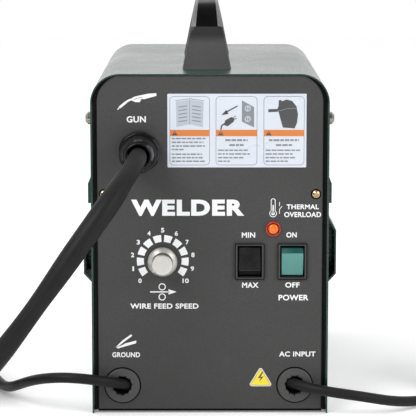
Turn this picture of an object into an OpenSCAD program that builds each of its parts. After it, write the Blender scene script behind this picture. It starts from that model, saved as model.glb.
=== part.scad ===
// Portable wire-feed (MIG) welding machine with its gun, ground clamp and power cord.
// Millimetres. +Z is up and the front panel faces -Y. The origin is the centre of the base, on the floor.

/* [Cabinet] */
// Width across the cover's flat sides
body_w = 203; // [201:1:206]
// Height to the top of the cover
body_h = 294; // [292:1:298]
// Depth from the cover's front edge to its back edge
body_d = 350; // [348:1:354]
// Outer radius of the cover's top corners
corner_r = 25; // [20:1:30]
// Thickness of the sheet metal
sheet = 1.2; // [1:0.1:1.5]
// Width of the hemmed front lips
lip = 2.9; // [2.4:0.1:3.2]
// How far the side scoops stand out
scoop_out = 8; // [5:1:9]

/* [Side door] */
// Length of the door opening, front to back
door_l = 238; // [220:1:240]
// Bottom of the door opening
door_low = 58; // [56:1:70]
// Top of the door opening
door_high = 252; // [245:1:254]
// Gap around the door
door_gap = 1.5; // [1:0.1:2]

/* [Handle] */
// Height of the grip's top above the cover
handle_h = 58; // [52:1:64]
// Width of the handle's feet
handle_foot_w = 43; // [38:1:48]
// Width of the grip
handle_top_w = 21; // [18:1:26]
// Length of the handle, front to back
handle_l = 200; // [180:1:210]

/* [Controls] */
// Diameter of the speed knob's skirt
knob_d = 25.5; // [22:0.5:28]
// How far the speed knob stands out
knob_out = 18; // [14:1:22]
// Width of each rocker bezel
bezel_w = 25.6; // [25:0.1:26]
// Height of each rocker bezel
bezel_h = 31.2; // [31:0.1:32]
// Tilt of a rocker either side of its middle
rocker_tilt = 12; // [8:1:12]

/* [Cords] */
// Diameter of the gun cable
gun_cable_d = 18; // [16:1:18]
// Diameter of the ground cable and of the power cord
lead_d = 9; // [8:0.5:9]

/* [Hidden] */

$fn = 48;
over = 1;                                   // how far a cut runs past what it cuts
front_y = -body_d / 2;
rear_y = body_d / 2;
side_x = body_w / 2;
panel_y = front_y + 1.5;                    // front face of the front panel
panel_w = body_w - 2 * lip - 1;
panel_low = 3.3;
panel_high = body_h - sheet - 0.4;
panel_depth = 14;                           // how far the panel's side flanges reach back
panel_bend = 4;                             // outer radius of the panel's side bends
rear_face = rear_y - 1.5;
black = "#1b1c1d";
green = "#20352e";
charcoal = "#3a3a3b";
zinc = "#b9bcbe";
brass = "#b89650";

// where things sit on the front panel, as [x, z]
gun_at = [-60, 228];
ground_at = [-75.5, 26];
power_at = [72.5, 26];
knob_at = [-40.6, 133];
lamp_at = [54.1, 161.3];
current_at = [34, 133.3];
power_switch_at = [70.5, 133.3];
panel_screw_at = [90.4, 191.3];

// ---- outlines and placing ----

// Rounded rectangle about its centre
module rounded(w, h, r) {
    square([w - 2 * r, h], center = true);
    square([w, h - 2 * r], center = true);
    for (sx = [-1, 1], sy = [-1, 1])
        translate([sx * (w / 2 - r), sy * (h / 2 - r)]) circle(r);
}

// Upright outline with a flat foot: corner radius top_r above and foot_r below
module arch(w, low, high, top_r, foot_r = 0.5) {
    translate([-w / 2, low + foot_r]) square([w, high - low - top_r - foot_r]);
    translate([-w / 2 + top_r, low + foot_r]) square([w - 2 * top_r, high - low - foot_r]);
    translate([-w / 2 + foot_r, low]) square([w - 2 * foot_r, 2 * foot_r]);
    for (s = [-1, 1]) {
        translate([s * (w / 2 - top_r), high - top_r]) circle(top_r);
        translate([s * (w / 2 - foot_r), low + foot_r]) circle(foot_r);
    }
}

// Extrudes a front-view outline (x, z) from y0 towards the back
module back_from(y0, length) {
    translate([0, y0 + length, 0]) rotate([90, 0, 0]) linear_extrude(length) children();
}

// Extrudes a side-view outline (y, z) from x0 towards +X
module right_from(x0, length) {
    translate([x0, 0, 0]) rotate([90, 0, 90]) linear_extrude(length) children();
}

// Round bars along the three axes
module bar_x(r, x0, x1, y, z) { translate([x0, y, z]) rotate([0, 90, 0]) cylinder(r = r, h = x1 - x0); }
module bar_y(r, y0, y1, x, z) { translate([x, y0, z]) rotate([-90, 0, 0]) cylinder(r = r, h = y1 - y0); }
module bar_z(r, z0, z1, x, y) { translate([x, y, z0]) cylinder(r = r, h = z1 - z0); }

// A block given by its low corner and its high corner
module block(low, high) { translate(low) cube(high - low); }

// ---- cord geometry ----

// A point of a Catmull-Rom curve through a, b, c, d, at share t of the way from b to c
function curve_point(a, b, c, d, t) =
    0.5 * (2 * b + (c - a) * t + (2 * a - 5 * b + 4 * c - d) * t * t + (3 * b - a - 3 * c + d) * t * t * t);

// The route with each gap split into steps
function smooth_route(route, steps) = [
    for (i = [0 : len(route) - 2], k = [0 : steps - 1])
        curve_point(route[max(i - 1, 0)], route[i], route[i + 1], route[min(i + 2, len(route) - 1)], k / steps),
    route[len(route) - 1]
];
function unit(v) = v / norm(v);
function heading(points, i) = unit(points[min(i + 1, len(points) - 1)] - points[max(i - 1, 0)]);

// Tube of one closed solid along the points; across is never along the tube
module swept_tube(points, d, sides, across) {
    rings = len(points);
    corners = [
        for (i = [0 : rings - 1])
            let (t = heading(points, i), u = unit(cross(t, across)), v = cross(t, u))
                for (k = [0 : sides - 1])
                    points[i] + d / 2 * (u * cos(360 * k / sides) + v * sin(360 * k / sides))
    ];
    faces = concat(
        [[for (k = [0 : sides - 1]) k]],
        [
            for (i = [0 : rings - 2], k = [0 : sides - 1])
                let (a = i * sides + k, b = i * sides + (k + 1) % sides)
                    each [[a, a + sides, b], [b, a + sides, b + sides]]
        ],
        [[for (k = [sides - 1 : -1 : 0]) (rings - 1) * sides + k]]
    );
    polyhedron(corners, faces, convexity = 8);
}

// Closed ring that a wound cord fills: mean radius r, from z = 0 to height h
module coil_ring(centre, r, d, h) {
    translate([centre[0], centre[1], 0]) rotate_extrude($fn = 72)
        translate([r, h / 2]) rounded(d + 1, h, d / 2 - 1);
}

// The gun cable's route, from its gland to its coil
gun_route = [
    [-60, -210, 228], [-60, -218, 228], [-61.5, -235, 226], [-66, -253, 220], [-73, -268, 210.5],
    [-82, -279.5, 198], [-92.5, -287, 183.5], [-104, -291.5, 168], [-118, -294.5, 148], [-133, -296, 127],
    [-148, -296.5, 106], [-165, -295, 83], [-183, -292, 61], [-204, -286.5, 41], [-230, -278, 25],
    [-260, -266, 14], [-292, -251, 9.5], [-321, -235, 9], [-348, -217, 9]
];
gun_coil_at = [-300, -135];
gun_coil_r = 95;
gun_coil_h = 57;
// and from its coil to the torch
gun_tail = [
    [-382, -182, 46], [-395, -156, 46], [-407, -130, 43], [-416, -102, 36], [-422, -74, 26], [-425, -46, 18],
    [-425, -20, 15.5]
];

ground_route = [
    [-71, -169, 24], [-78.5, -177, 27], [-87.5, -183.5, 30], [-98.5, -188, 32.5], [-111, -190, 34.5],
    [-124, -188.5, 35], [-136.5, -183.5, 33.5], [-147.5, -175, 30.5], [-157, -164, 26], [-165, -150.5, 20.5],
    [-172, -135.5, 15], [-178, -119, 10], [-184, -101, 6.5], [-190, -81, 4.5], [-197, -58, 4.5],
    [-204, -33, 4.5], [-210, -5, 4.5], [-214.5, 15, 4.5], [-216, 30, 4.5]
];
ground_coil_at = [-266, 30];
ground_coil_r = 50;
ground_coil_h = 39;
ground_tail = [[-241, 73, 34], [-250, 79, 32], [-260, 84, 27], [-270, 88, 20], [-280, 89, 14], [-292, 89, 11]];

power_route = [
    [67, -168, 27], [75, -176, 26], [84.5, -182.5, 24.5], [96, -187, 23], [108.5, -189, 21.5],
    [121, -188.5, 19.5], [133.5, -185.5, 17], [146, -180, 13.5], [158.5, -172, 10], [171, -162, 7],
    [185, -150, 5], [200, -138, 4.5], [216.5, -127, 4.5], [233.5, -118, 4.5], [252, -113, 4.5]
];
power_coil_at = [252, -63];
power_coil_r = 50;
power_coil_h = 47;
power_tail = [[302, -63, 42], [302, -45, 40], [301, -28, 34], [298, -11, 26], [294, 6, 19], [289, 22, 15], [284, 37, 14]];

// ---- cabinet ----

module side_features(side) {
    // forward-open scoop and the small hood above it, pressed out of the sheet
    mirror([side < 0 ? 1 : 0, 0, 0]) {
        difference() {
            back_from(front_y + 26, 46) polygon([
                [side_x - 0.2, 171], [side_x + scoop_out, 156], [side_x + scoop_out, 118], [side_x - 0.2, 109]
            ]);
            back_from(front_y + 26 - over, 44) polygon([
                [side_x - 1, 169], [side_x + scoop_out - 1.3, 155.3], [side_x + scoop_out - 1.3, 118.6],
                [side_x - 1, 110.8]
            ]);
        }
        difference() {
            back_from(front_y + 26, 46) polygon([
                [side_x - 0.2, 207], [side_x + 3.8, 197], [side_x + 3.8, 180], [side_x - 0.2, 180]
            ]);
            back_from(front_y + 27.2, 43.6) polygon([
                [side_x - 1, 205.6], [side_x + 2.6, 196.8], [side_x + 2.6, 179], [side_x - 1, 179]
            ]);
        }
    }
}

module cabinet_cover() color(green) difference() {
    union() {
        difference() {
            back_from(front_y, body_d) arch(body_w, 0, body_h, corner_r);
            back_from(front_y - over, body_d + 2 * over)
                arch(body_w - 2 * sheet, -2, body_h - sheet, corner_r - sheet);
        }
        // hems folded back inside the front and rear edges
        for (s = [-1, 1], y = [front_y, rear_y - 8])
            block([s > 0 ? side_x - lip : -side_x + sheet / 2, y, 8],
                  [s > 0 ? side_x - sheet / 2 : -side_x + lip, y + 8, body_h - corner_r]);
        for (s = [-1, 1]) side_features(s);
    }
    // door opening in the left side
    right_from(-side_x - over, sheet + 2 * over)
        translate([front_y + 62 + door_l / 2, (door_low + door_high) / 2]) rounded(door_l, door_high - door_low, 4);
    // vent openings behind the scoops
    for (s = [-1, 1])
        block([s > 0 ? side_x - 2 : -side_x - 0.1, front_y + 32, 121], [s > 0 ? side_x + 0.1 : -side_x + 2, front_y + 60, 154]);
    // cooling slots towards the back of the right side
    for (i = [0 : 6])
        right_from(side_x - sheet - over, sheet + 2 * over)
            translate([70 + 11 * i, 150]) rounded(4, 90, 1.9);
    for (s = [-1, 1], y = [front_y + 11, rear_y - 11])
        bar_x(2, s * side_x - 5, s * side_x + 5, y, 255.5);
    for (y = handle_feet_y()) bar_z(2.2, body_h - 5, body_h + 5, 0, y);
}

module base_pan() color(black) {
    difference() {
        block([-side_x + sheet + 0.2, front_y + 16, 0], [side_x - sheet - 0.2, rear_y - 3, sheet]);
        for (x = [-60, 60], y = [-90, 90]) bar_z(6, -over, sheet + over, x, y);
    }
    for (s = [-1, 1])
        block([s > 0 ? side_x - 2 * sheet - 0.2 : -side_x + sheet + 0.2, front_y + 20, 0],
              [s > 0 ? side_x - sheet - 0.2 : -side_x + 2 * sheet + 0.2, rear_y - 20, 18]);
}

// Plan of a pressed panel: flat face at y = 0, side flanges turned back
module panel_plan(w, depth, bend) {
    difference() {
        union() {
            translate([-w / 2 + bend, 0]) square([w - 2 * bend, depth]);
            translate([-w / 2, bend]) square([w, depth - bend]);
            for (s = [-1, 1]) translate([s * (w / 2 - bend), bend]) circle(bend);
        }
        translate([-w / 2 + bend, 1.5]) square([w - 2 * bend, depth]);
        translate([-w / 2 + 1.5, bend]) square([w - 3, depth]);
        for (s = [-1, 1]) translate([s * (w / 2 - bend), bend]) circle(bend - 1.5);
    }
}

module front_panel() color(charcoal) difference() {
    intersection() {
        back_from(panel_y, panel_depth) arch(panel_w, panel_low, panel_high, corner_r - 2, 3);
        translate([0, panel_y, 0]) linear_extrude(body_h) panel_plan(panel_w, panel_depth, panel_bend);
    }
    back_from(panel_y - over, 5) {
        translate(gun_at) circle(12.2);
        for (p = [ground_at, power_at]) translate(p) circle(11.2);
        translate(knob_at) circle(4.8);
        translate(lamp_at) circle(5.2);
        for (p = [current_at, power_switch_at]) translate(p) square([22.2, 28.8], center = true);
        for (s = [-1, 1]) translate([s * panel_screw_at[0], panel_screw_at[1]]) circle(2.1);
    }
}

module rear_panel() color(charcoal) difference() {
    intersection() {
        back_from(rear_face - panel_depth, panel_depth) arch(panel_w, panel_low, panel_high, corner_r - 2, 3);
        translate([0, rear_face, 0]) mirror([0, 1, 0]) linear_extrude(body_h) panel_plan(panel_w, panel_depth, panel_bend);
    }
    // fan grille: straight slots that fill a circle
    back_from(rear_face - 5, 5 + over) {
        for (i = [-4 : 4])
            translate([0, 150 + 11.5 * i]) rounded(2 * sqrt(54 * 54 - 11.5 * 11.5 * i * i), 5, 2.4);
        for (sx = [-1, 1], z = [30, 262]) translate([sx * 78, z]) circle(2.1);
    }
}

module divider() color(zinc) {
    difference() {
        block([12, front_y + 18, sheet], [13.5, rear_y - 34, body_h - 30]);
        bar_x(8, 10, 20, roll_at[0], roll_at[1]);
    }
    block([13.5, front_y + 18, sheet], [26, rear_y - 34, 2 * sheet]);
}

// Pan head with a cross recess, on the plane y = 0 and facing -Y
module pan_head(r, h) {
    difference() {
        union() {
            rotate([90, 0, 0]) cylinder(r = r, h = h * 0.55);
            translate([0, -h * 0.5, 0]) rotate([90, 0, 0]) cylinder(r1 = r, r2 = r * 0.55, h = h * 0.5);
        }
        for (a = [0, 90])
            rotate([0, a, 0]) translate([-r * 0.55, -h - over, -r * 0.11]) cube([r * 1.1, h * 0.6 + over, r * 0.22]);
    }
}

module cover_screws() color("silver")
    for (s = [-1, 1], y = [front_y + 11, rear_y - 11])
        translate([s * side_x, y, 255.5]) rotate([0, 0, s * 90]) {
            pan_head(5.4, 4.4);
            rotate([-90, 0, 0]) cylinder(r = 1.9, h = 7);
        }

module panel_screws() color(brass) {
    for (s = [-1, 1])
        translate([s * panel_screw_at[0], panel_y, panel_screw_at[1]]) {
            pan_head(3.2, 1.8);
            rotate([-90, 0, 0]) cylinder(r = 1.9, h = 8);
        }
    for (s = [-1, 1], z = [30, 262])
        translate([s * 78, rear_face, z]) rotate([0, 0, 180]) {
            pan_head(3.6, 2.2);
            rotate([-90, 0, 0]) cylinder(r = 1.9, h = 8);
        }
}

// ---- handle ----

handle_front = front_y + 49;
function handle_feet_y() = [handle_front + 13, handle_front + handle_l - 13];

module handle() color(black) difference() {
    intersection() {
        right_from(-handle_foot_w / 2, handle_foot_w) difference() {
            polygon([
                [handle_front, body_h], [handle_front + 9, body_h + 36], [handle_front + 22, body_h + handle_h - 4],
                [handle_front + 32, body_h + handle_h], [handle_front + handle_l - 32, body_h + handle_h],
                [handle_front + handle_l - 22, body_h + handle_h - 4], [handle_front + handle_l - 9, body_h + 36],
                [handle_front + handle_l, body_h]
            ]);
            polygon([
                [handle_front + 26, body_h - over], [handle_front + 29, body_h + 22],
                [handle_front + 40, body_h + handle_h - 20], [handle_front + handle_l - 40, body_h + handle_h - 20],
                [handle_front + handle_l - 29, body_h + 22], [handle_front + handle_l - 26, body_h - over]
            ]);
        }
        back_from(handle_front - over, handle_l + 2 * over) polygon([
            [-handle_foot_w / 2, body_h], [-handle_top_w / 2 - 1, body_h + handle_h - 6],
            [-handle_top_w / 2 + 1.5, body_h + handle_h], [handle_top_w / 2 - 1.5, body_h + handle_h],
            [handle_top_w / 2 + 1, body_h + handle_h - 6], [handle_foot_w / 2, body_h]
        ]);
    }
    for (y = handle_feet_y()) bar_z(1.9, body_h - over, body_h + 14, 0, y);
}

module handle_screws() color("silver")
    for (y = handle_feet_y()) {
        bar_z(1.9, body_h - 4, body_h + 14, 0, y);
        bar_z(4, body_h - 4, body_h - sheet, 0, y);
    }

// ---- side door ----

door_front = front_y + 62;
door_rear = door_front + door_l;
hinge_x = -side_x - 0.6;
hinge_z = door_high - 3;
hinge_r = 2.6;
hinge_pin_r = 1.25;
hinge_fit = 0.05;
knuckles = 8;
knuckle_l = (door_l - 30) / knuckles;

// The knuckles whose number divided by two leaves the given rest
module hinge_knuckles(rest, bore_r) {
    for (i = [0 : knuckles - 1])
        if (i % 2 == rest)
            difference() {
                bar_y(hinge_r, door_front + 15 + i * knuckle_l + 0.4, door_front + 15 + (i + 1) * knuckle_l - 0.4,
                      hinge_x, hinge_z);
                bar_y(bore_r, door_front + 14 + i * knuckle_l, door_front + 16 + (i + 1) * knuckle_l, hinge_x, hinge_z);
            }
}

module hinge_leaf() color(zinc) {
    difference() {
        union() {
            block([-side_x + sheet, door_front + 15, door_high - 1], [-side_x + 2 * sheet, door_rear - 15, door_high + 14]);
            for (i = [0 : 2 : knuckles - 1])
                block([hinge_x, door_front + 15.4 + i * knuckle_l, door_high - 1],
                      [-side_x + 2 * sheet, door_front + 14.6 + (i + 1) * knuckle_l, door_high - 0.2]);
        }
        bar_y(hinge_pin_r, door_front, door_rear, hinge_x, hinge_z);
    }
    hinge_knuckles(0, hinge_pin_r);
}

module hinge_pin() color("silver")
    bar_y(hinge_pin_r, door_front + 14, door_rear - 14, hinge_x, hinge_z);

latch_at = [door_front + door_l / 2, door_low + 16];
latch_r = 7;

module side_door() color(green) {
    difference() {
        union() {
            right_from(-side_x, sheet)
                translate([(door_front + door_rear) / 2, (door_low + hinge_z - 4) / 2 + door_gap / 2])
                    rounded(door_l - 2 * door_gap, hinge_z - 4 - door_low - door_gap, 3);
            // stiffening frame inside the skin
            right_from(-side_x + sheet, 8) difference() {
                translate([(door_front + door_rear) / 2, (door_low + hinge_z - 4) / 2])
                    rounded(door_l - 12, hinge_z - 14 - door_low, 3);
                translate([(door_front + door_rear) / 2, (door_low + hinge_z - 4) / 2])
                    rounded(door_l - 14.4, hinge_z - 16.4 - door_low, 2);
            }
            for (i = [1 : 2 : knuckles - 1])
                block([-side_x, door_front + 15.4 + i * knuckle_l, hinge_z - 8],
                      [-side_x + sheet, door_front + 14.6 + (i + 1) * knuckle_l, hinge_z]);
        }
        bar_y(hinge_pin_r + hinge_fit, door_front, door_rear, hinge_x, hinge_z);
        bar_x(latch_r + 0.05, -side_x - over, -side_x + sheet + over, latch_at[0], latch_at[1]);
        // room for the latch's tongue to turn
        block([-side_x + sheet + 0.1, latch_at[0] - 9, door_low], [-side_x + 12, latch_at[0] + 29, latch_at[1]]);
    }
    hinge_knuckles(1, hinge_pin_r + hinge_fit);
}

module door_latch() color(black) {
    difference() {
        union() {
            bar_x(latch_r, -side_x - 1.2, -side_x + 4, latch_at[0], latch_at[1]);
            bar_x(latch_r + 3, -side_x - 2.6, -side_x - 0.4, latch_at[0], latch_at[1]);
        }
        block([-side_x - 4, latch_at[0] - 6, latch_at[1] - 1.2], [-side_x - 1.6, latch_at[0] + 6, latch_at[1] + 1.2]);
    }
    // tongue, shown released; turned down it reaches behind the lower edge of the opening
    block([-side_x + 2.2, latch_at[0], latch_at[1] - 5], [-side_x + 4, latch_at[0] + 24, latch_at[1] + 5]);
}

// ---- front controls ----

module speed_knob() color("silver")
    translate([knob_at[0], panel_y, knob_at[1]]) rotate([90, 0, 0]) difference() {
        union() {
            translate([0, 0, 0.6]) cylinder(d = knob_d, h = 3.4);
            translate([0, 0, 4]) cylinder(d1 = knob_d, d2 = knob_d - 5, h = 2);
            translate([0, 0, 5]) linear_extrude(knob_out - 5) difference() {
                circle(8.5);
                for (a = [0 : 15 : 345]) rotate(a) translate([8.9, 0]) circle(0.8);
            }
        }
        translate([0, 0, -over]) cylinder(r = 3, h = 13);
    }

module knob_shaft() color(zinc) bar_y(3, panel_y - 11, panel_y + 12, knob_at[0], knob_at[1]);

module potentiometer() color(zinc) {
    difference() {
        union() {
            bar_y(4.7, panel_y - 0.4, panel_y + 6, knob_at[0], knob_at[1]);
            bar_y(12, panel_y + 4, panel_y + 16, knob_at[0], knob_at[1]);
        }
        bar_y(3.05, panel_y - 2, panel_y + 13, knob_at[0], knob_at[1]);
    }
    difference() {
        bar_y(7, panel_y + 1.6, panel_y + 3.6, knob_at[0], knob_at[1]);
        bar_y(4.7, panel_y, panel_y + 5, knob_at[0], knob_at[1]);
    }
}

pivot_in = 4;                               // rocker pivot behind the panel's face
rocker_r = 13.1;

// Bezel and case of a snap-in rocker switch
module rocker_case(at) translate([at[0], panel_y, at[1]]) {
    difference() {
        union() {
            back_from(-2.2, 2.2) rounded(bezel_w, bezel_h, 1.5);
            block([-10.9, 0, -14.2], [10.9, 22, 14.2]);
        }
        block([-9.9, -3, -13.2], [9.9, 3, 13.2]);
        block([-9.9, 1.5, -13.6], [9.9, 19, 13.6]);
        bar_x(1.25, -10.5, 10.5, pivot_in, 0);
    }
    for (x = [-5, 5]) block([x - 0.4, 22, -3], [x + 0.4, 30, 3]);
}

// Rocker paddle, tilted so that its top (side = 1) or its bottom (side = -1) is pressed in
module rocker(at, side) translate([at[0], panel_y + pivot_in, at[1]]) rotate([side * -rocker_tilt, 0, 0]) {
    right_from(-9.4, 18.8) intersection() {
        circle(rocker_r);
        polygon([[2, -14], [-7.4, -14], [-7.4, -11.2], [-5.4, 0], [-7.4, 11.2], [-7.4, 14], [2, 14]]);
    }
    bar_x(1.2, -10.4, 10.4, 0, 0);
}

module current_switch() color(black) rocker_case(current_at);
module current_rocker() color(black) rocker(current_at, 1);
module power_switch() color(black) rocker_case(power_switch_at);
module power_rocker() color("#4f8d86") rocker(power_switch_at, -1);

module lamp_bezel() color("#b5442c") translate([lamp_at[0], panel_y, lamp_at[1]]) rotate([90, 0, 0]) difference() {
    union() {
        cylinder(r = 6.5, h = 2);
        translate([0, 0, -14]) cylinder(r = 5, h = 14);
    }
    translate([0, 0, -11]) cylinder(r = 4.3, h = 20);
}
module lamp_lens() color("#e2602b") translate([lamp_at[0], panel_y, lamp_at[1]]) rotate([90, 0, 0]) {
    translate([0, 0, -10]) cylinder(r = 4.3, h = 11.5);
    translate([0, 0, 1.5]) cylinder(r1 = 4.3, r2 = 2.6, h = 1.4);
}

// ---- gun, cable and torch ----

module gun_gland() color(black) translate([gun_at[0], panel_y, gun_at[1]]) rotate([90, 0, 0]) difference() {
    union() {
        translate([0, 0, -22]) cylinder(r = 12, h = 34);
        translate([0, 0, 12]) cylinder(r1 = 15, r2 = 14.2, h = 12);
        translate([0, 0, 24]) cylinder(r1 = 14.2, r2 = 11.2, h = 12.5);
    }
    translate([0, 0, -24]) cylinder(d = gun_cable_d, h = 64);
}

module gun_nut() color(black) translate([gun_at[0], panel_y, gun_at[1]]) rotate([90, 0, 0]) difference() {
    union() {
        cylinder(r = 18, h = 8);
        translate([0, 0, 8]) cylinder(r1 = 18, r2 = 15.6, h = 3.6);
    }
    translate([0, 0, -over]) cylinder(r = 12, h = 20);
}

module gun_cable() color(black) {
    swept_tube(smooth_route(gun_route, 1), gun_cable_d, 12, [1, 0, -1]);
    swept_tube(smooth_route(gun_tail, 1), gun_cable_d, 12, [0, 0, 1]);
}
module gun_coil() color(black) coil_ring(gun_coil_at, gun_coil_r, gun_cable_d, gun_coil_h);

torch_x = -425;
torch_y = -20;                              // where the cable enters the handle
torch_z = 15.5;
torch_l = 132;
trigger_at = [torch_x + 9, torch_y + 96];
neck_r = 42;
neck_turn = 48;

module torch_handle() color(black) difference() {
    hull() {
        for (p = [[0, 13, 12], [16, 15, 14], [60, 16, 15.5], [104, 15.5, 14.5], [torch_l, 11, 11]])
            translate([torch_x, torch_y + p[0], torch_z]) scale([p[1] / 10, 1, p[2] / 10])
                rotate([-90, 0, 0]) cylinder(r = 10, h = 0.6, center = true, $fn = 32);
    }
    bar_y(gun_cable_d / 2, torch_y - over, torch_y + 12, torch_x, torch_z);
    bar_y(7, torch_y + torch_l - 14, torch_y + torch_l + over, torch_x, torch_z);
    // slot for the trigger on the handle's right side
    block([torch_x + 7.6, torch_y + 56, torch_z - 6], [torch_x + 20, torch_y + 102, torch_z + 6]);
    bar_z(1.5, torch_z - 9.6, torch_z + 9.6, trigger_at[0] + 2, trigger_at[1]);
}

module torch_trigger() color("#2a2b2c") {
    translate([0, 0, torch_z - 5.4]) linear_extrude(10.8) polygon([
        [torch_x + 9, torch_y + 100], [torch_x + 14.6, torch_y + 99], [torch_x + 19.4, torch_y + 84],
        [torch_x + 20.6, torch_y + 68], [torch_x + 18, torch_y + 60], [torch_x + 13.5, torch_y + 59],
        [torch_x + 12.6, torch_y + 76], [torch_x + 9, torch_y + 90]
    ]);
    bar_z(1.45, torch_z - 9.2, torch_z + 9.2, trigger_at[0] + 2, trigger_at[1]);
}

module torch_neck() color(brass) {
    start = torch_y + torch_l;
    bar_y(7, start - 14, start + 8, torch_x, torch_z);
    // gooseneck: an arc that turns towards +X
    translate([torch_x + neck_r, start + 8, torch_z]) rotate([0, 0, 180 - neck_turn])
        rotate_extrude(angle = neck_turn, $fn = 64) translate([neck_r, 0]) circle(7);
    translate(neck_end()) rotate([0, 0, -neck_turn]) {
        bar_y(7, 0, 12, 0, 0);
        bar_y(3, 12, 50, 0, 0);
    }
}
function neck_end() = [
    torch_x + neck_r * (1 - cos(neck_turn)), torch_y + torch_l + 8 + neck_r * sin(neck_turn), torch_z
];

module torch_nozzle() color("#b9854f") translate(neck_end()) rotate([0, 0, -neck_turn]) difference() {
    union() {
        bar_y(9.5, 10, 34, 0, 0);
        translate([0, 34, 0]) rotate([-90, 0, 0]) cylinder(r1 = 9.5, r2 = 7.5, h = 18);
    }
    bar_y(7, 9, 12, 0, 0);
    bar_y(6, 11.9, 54, 0, 0);
}

// ---- ground lead and clamp ----

// Rubber bush with a wide mouth that the lead leaves slantwise
module bush(at) translate([at[0], panel_y, at[1]]) rotate([90, 0, 0]) {
    difference() {
        union() {
            cylinder(r = 15, h = 2.2);
            translate([0, 0, -6]) cylinder(r = 11, h = 7);
            translate([0, 0, -6]) cylinder(r = 13, h = 4.2);
        }
        translate([0, 0, -9]) cylinder(r = 8, h = 15);
    }
}

module ground_grommet() color(black) bush(ground_at);
module ground_cable() color(black) {
    swept_tube(smooth_route(ground_route, 1), lead_d, 10, [0, 0, 1]);
    swept_tube(smooth_route(ground_tail, 1), lead_d, 10, [0, 1, 0]);
}
module ground_coil() color(black) coil_ring(ground_coil_at, ground_coil_r, lead_d, ground_coil_h);

clamp_at = [-344, 110];                     // the clamp's pivot
clamp_low = 1;
clamp_h = 20;

// Plan of one clamp arm, with the pivot at 0 and the jaws along +x
module arm_plan() polygon([
    [-56, 20.5], [-54, 23], [-34, 19.5], [-12, 11], [8, 10.5], [34, 12], [47, 8], [53, 2.4], [51, 0.8], [44, 4.6],
    [32, 8.4], [8, 7.4], [-13, 8], [-35, 16.6], [-55, 19.6]
]);

// One arm: the channel's web, with two ears for the pivot at the given heights
module clamp_arm(ear_low, ear_high, bore_r) {
    difference() {
        union() {
            translate([0, 0, clamp_low]) linear_extrude(clamp_h) arm_plan();
            for (z = [ear_low, ear_high]) translate([0, 0, z]) linear_extrude(1.6) {
                circle(6);
                translate([-6, 0]) square([12, 9]);
            }
        }
        translate([0, 0, -over]) cylinder(r = bore_r, h = 40);
    }
}

module clamp_base() color(zinc) translate([clamp_at[0], clamp_at[1], 0]) rotate([0, 0, 180]) {
    clamp_arm(clamp_low, clamp_low + clamp_h - 1.6, 2.5);
    bar_z(2.5, clamp_low, clamp_low + clamp_h, 0, 0);
    // sleeve over the handle, where the lead enters
    translate([0, 0, clamp_low - 1]) linear_extrude(clamp_h + 2)
        polygon([[-57, 17], [-57, 24.5], [-35, 22], [-35, 15]]);
}

module clamp_jaw() color(zinc) translate([clamp_at[0], clamp_at[1], 0]) rotate([0, 0, 180]) mirror([0, 1, 0])
    difference() {
        union() {
            clamp_arm(clamp_low + 2, clamp_low + clamp_h - 3.6, 2.55);
            translate([0, 0, clamp_low - 1]) linear_extrude(clamp_h + 2)
                polygon([[-57, 17], [-57, 24.5], [-35, 22], [-35, 15]]);
        }
        translate([0, 0, -over]) cylinder(r = 2.55, h = 40);
    }

module clamp_contact() color("#b87333") translate([clamp_at[0], clamp_at[1], 0]) rotate([0, 0, 180])
    translate([0, 0, clamp_low + 3]) linear_extrude(clamp_h - 6)
        polygon([[36, 7.6], [36, 3.2], [46, 1.2], [50.6, 0.4], [51, 0.8], [44, 4.6], [38, 6.9]]);

// Torsion spring on the clamp's pin, with a leg on the fixed arm
module clamp_spring() color("#8d8f92") translate([clamp_at[0], clamp_at[1], 0]) rotate([0, 0, 180]) {
    difference() {
        bar_z(5.2, clamp_low + 5, clamp_low + 15, 0, 0);
        bar_z(3, clamp_low + 4, clamp_low + 16, 0, 0);
    }
    translate([-22, 3.4, clamp_low + 12]) rotate([0, 0, -16]) cube([20, 1.6, 1.6]);
}

// ---- power cord and plug ----

module power_grommet() color(black) bush(power_at);
module power_cord() color(black) {
    swept_tube(smooth_route(power_route, 1), lead_d, 10, [0, 0, 1]);
    swept_tube(smooth_route(power_tail, 1), lead_d, 10, [1, 0, 0]);
}
module power_coil() color(black) coil_ring(power_coil_at, power_coil_r, lead_d, power_coil_h);

plug_turn = 16;
module power_plug() color(black) translate([284, 37, 14]) rotate([0, 0, plug_turn]) {
    hull() {
        bar_y(6.5, 0, 1, 0, 0);
        translate([0, 22, 0]) cube([25, 0.6, 22], center = true);
    }
    translate([-14, 22, -14]) cube([28, 16, 28]);
}
module plug_blades() color("silver") translate([284, 37, 14]) rotate([0, 0, plug_turn]) {
    for (x = [-6.35, 6.35]) translate([x - 0.75, 37.5, 0]) cube([1.5, 17, 6.4]);
    bar_y(2.4, 37.5, 57, 0, -8);
}

// ---- power stage ----

module transformer_core() color("#5b5e60") {
    back_from(-70, 62) difference() {
        translate([57, 68]) square([76, 100], center = true);
        for (s = [-1, 1]) translate([57 + s * 19, 68]) square([16, 64], center = true);
    }
    for (y = [-70, -8]) block([24, y - 8, 2 * sheet], [90, y + 8, 18]);
}

module transformer_windings() color("#8c4a2a") difference() {
    block([31, -88, 38], [83, 10, 98]);
    block([45.9, -70.1, 30], [68.1, -7.9, 110]);
}

module rectifier() color("#a9adb0") {
    block([40, 30, 40], [86, 90, 44]);
    for (i = [0 : 7]) block([42 + 5.6 * i, 30, 44], [43.6 + 5.6 * i, 90, 74]);
    block([40, 30, sheet], [44, 90, 40]);
    block([82, 30, sheet], [86, 90, 40]);
}

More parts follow.
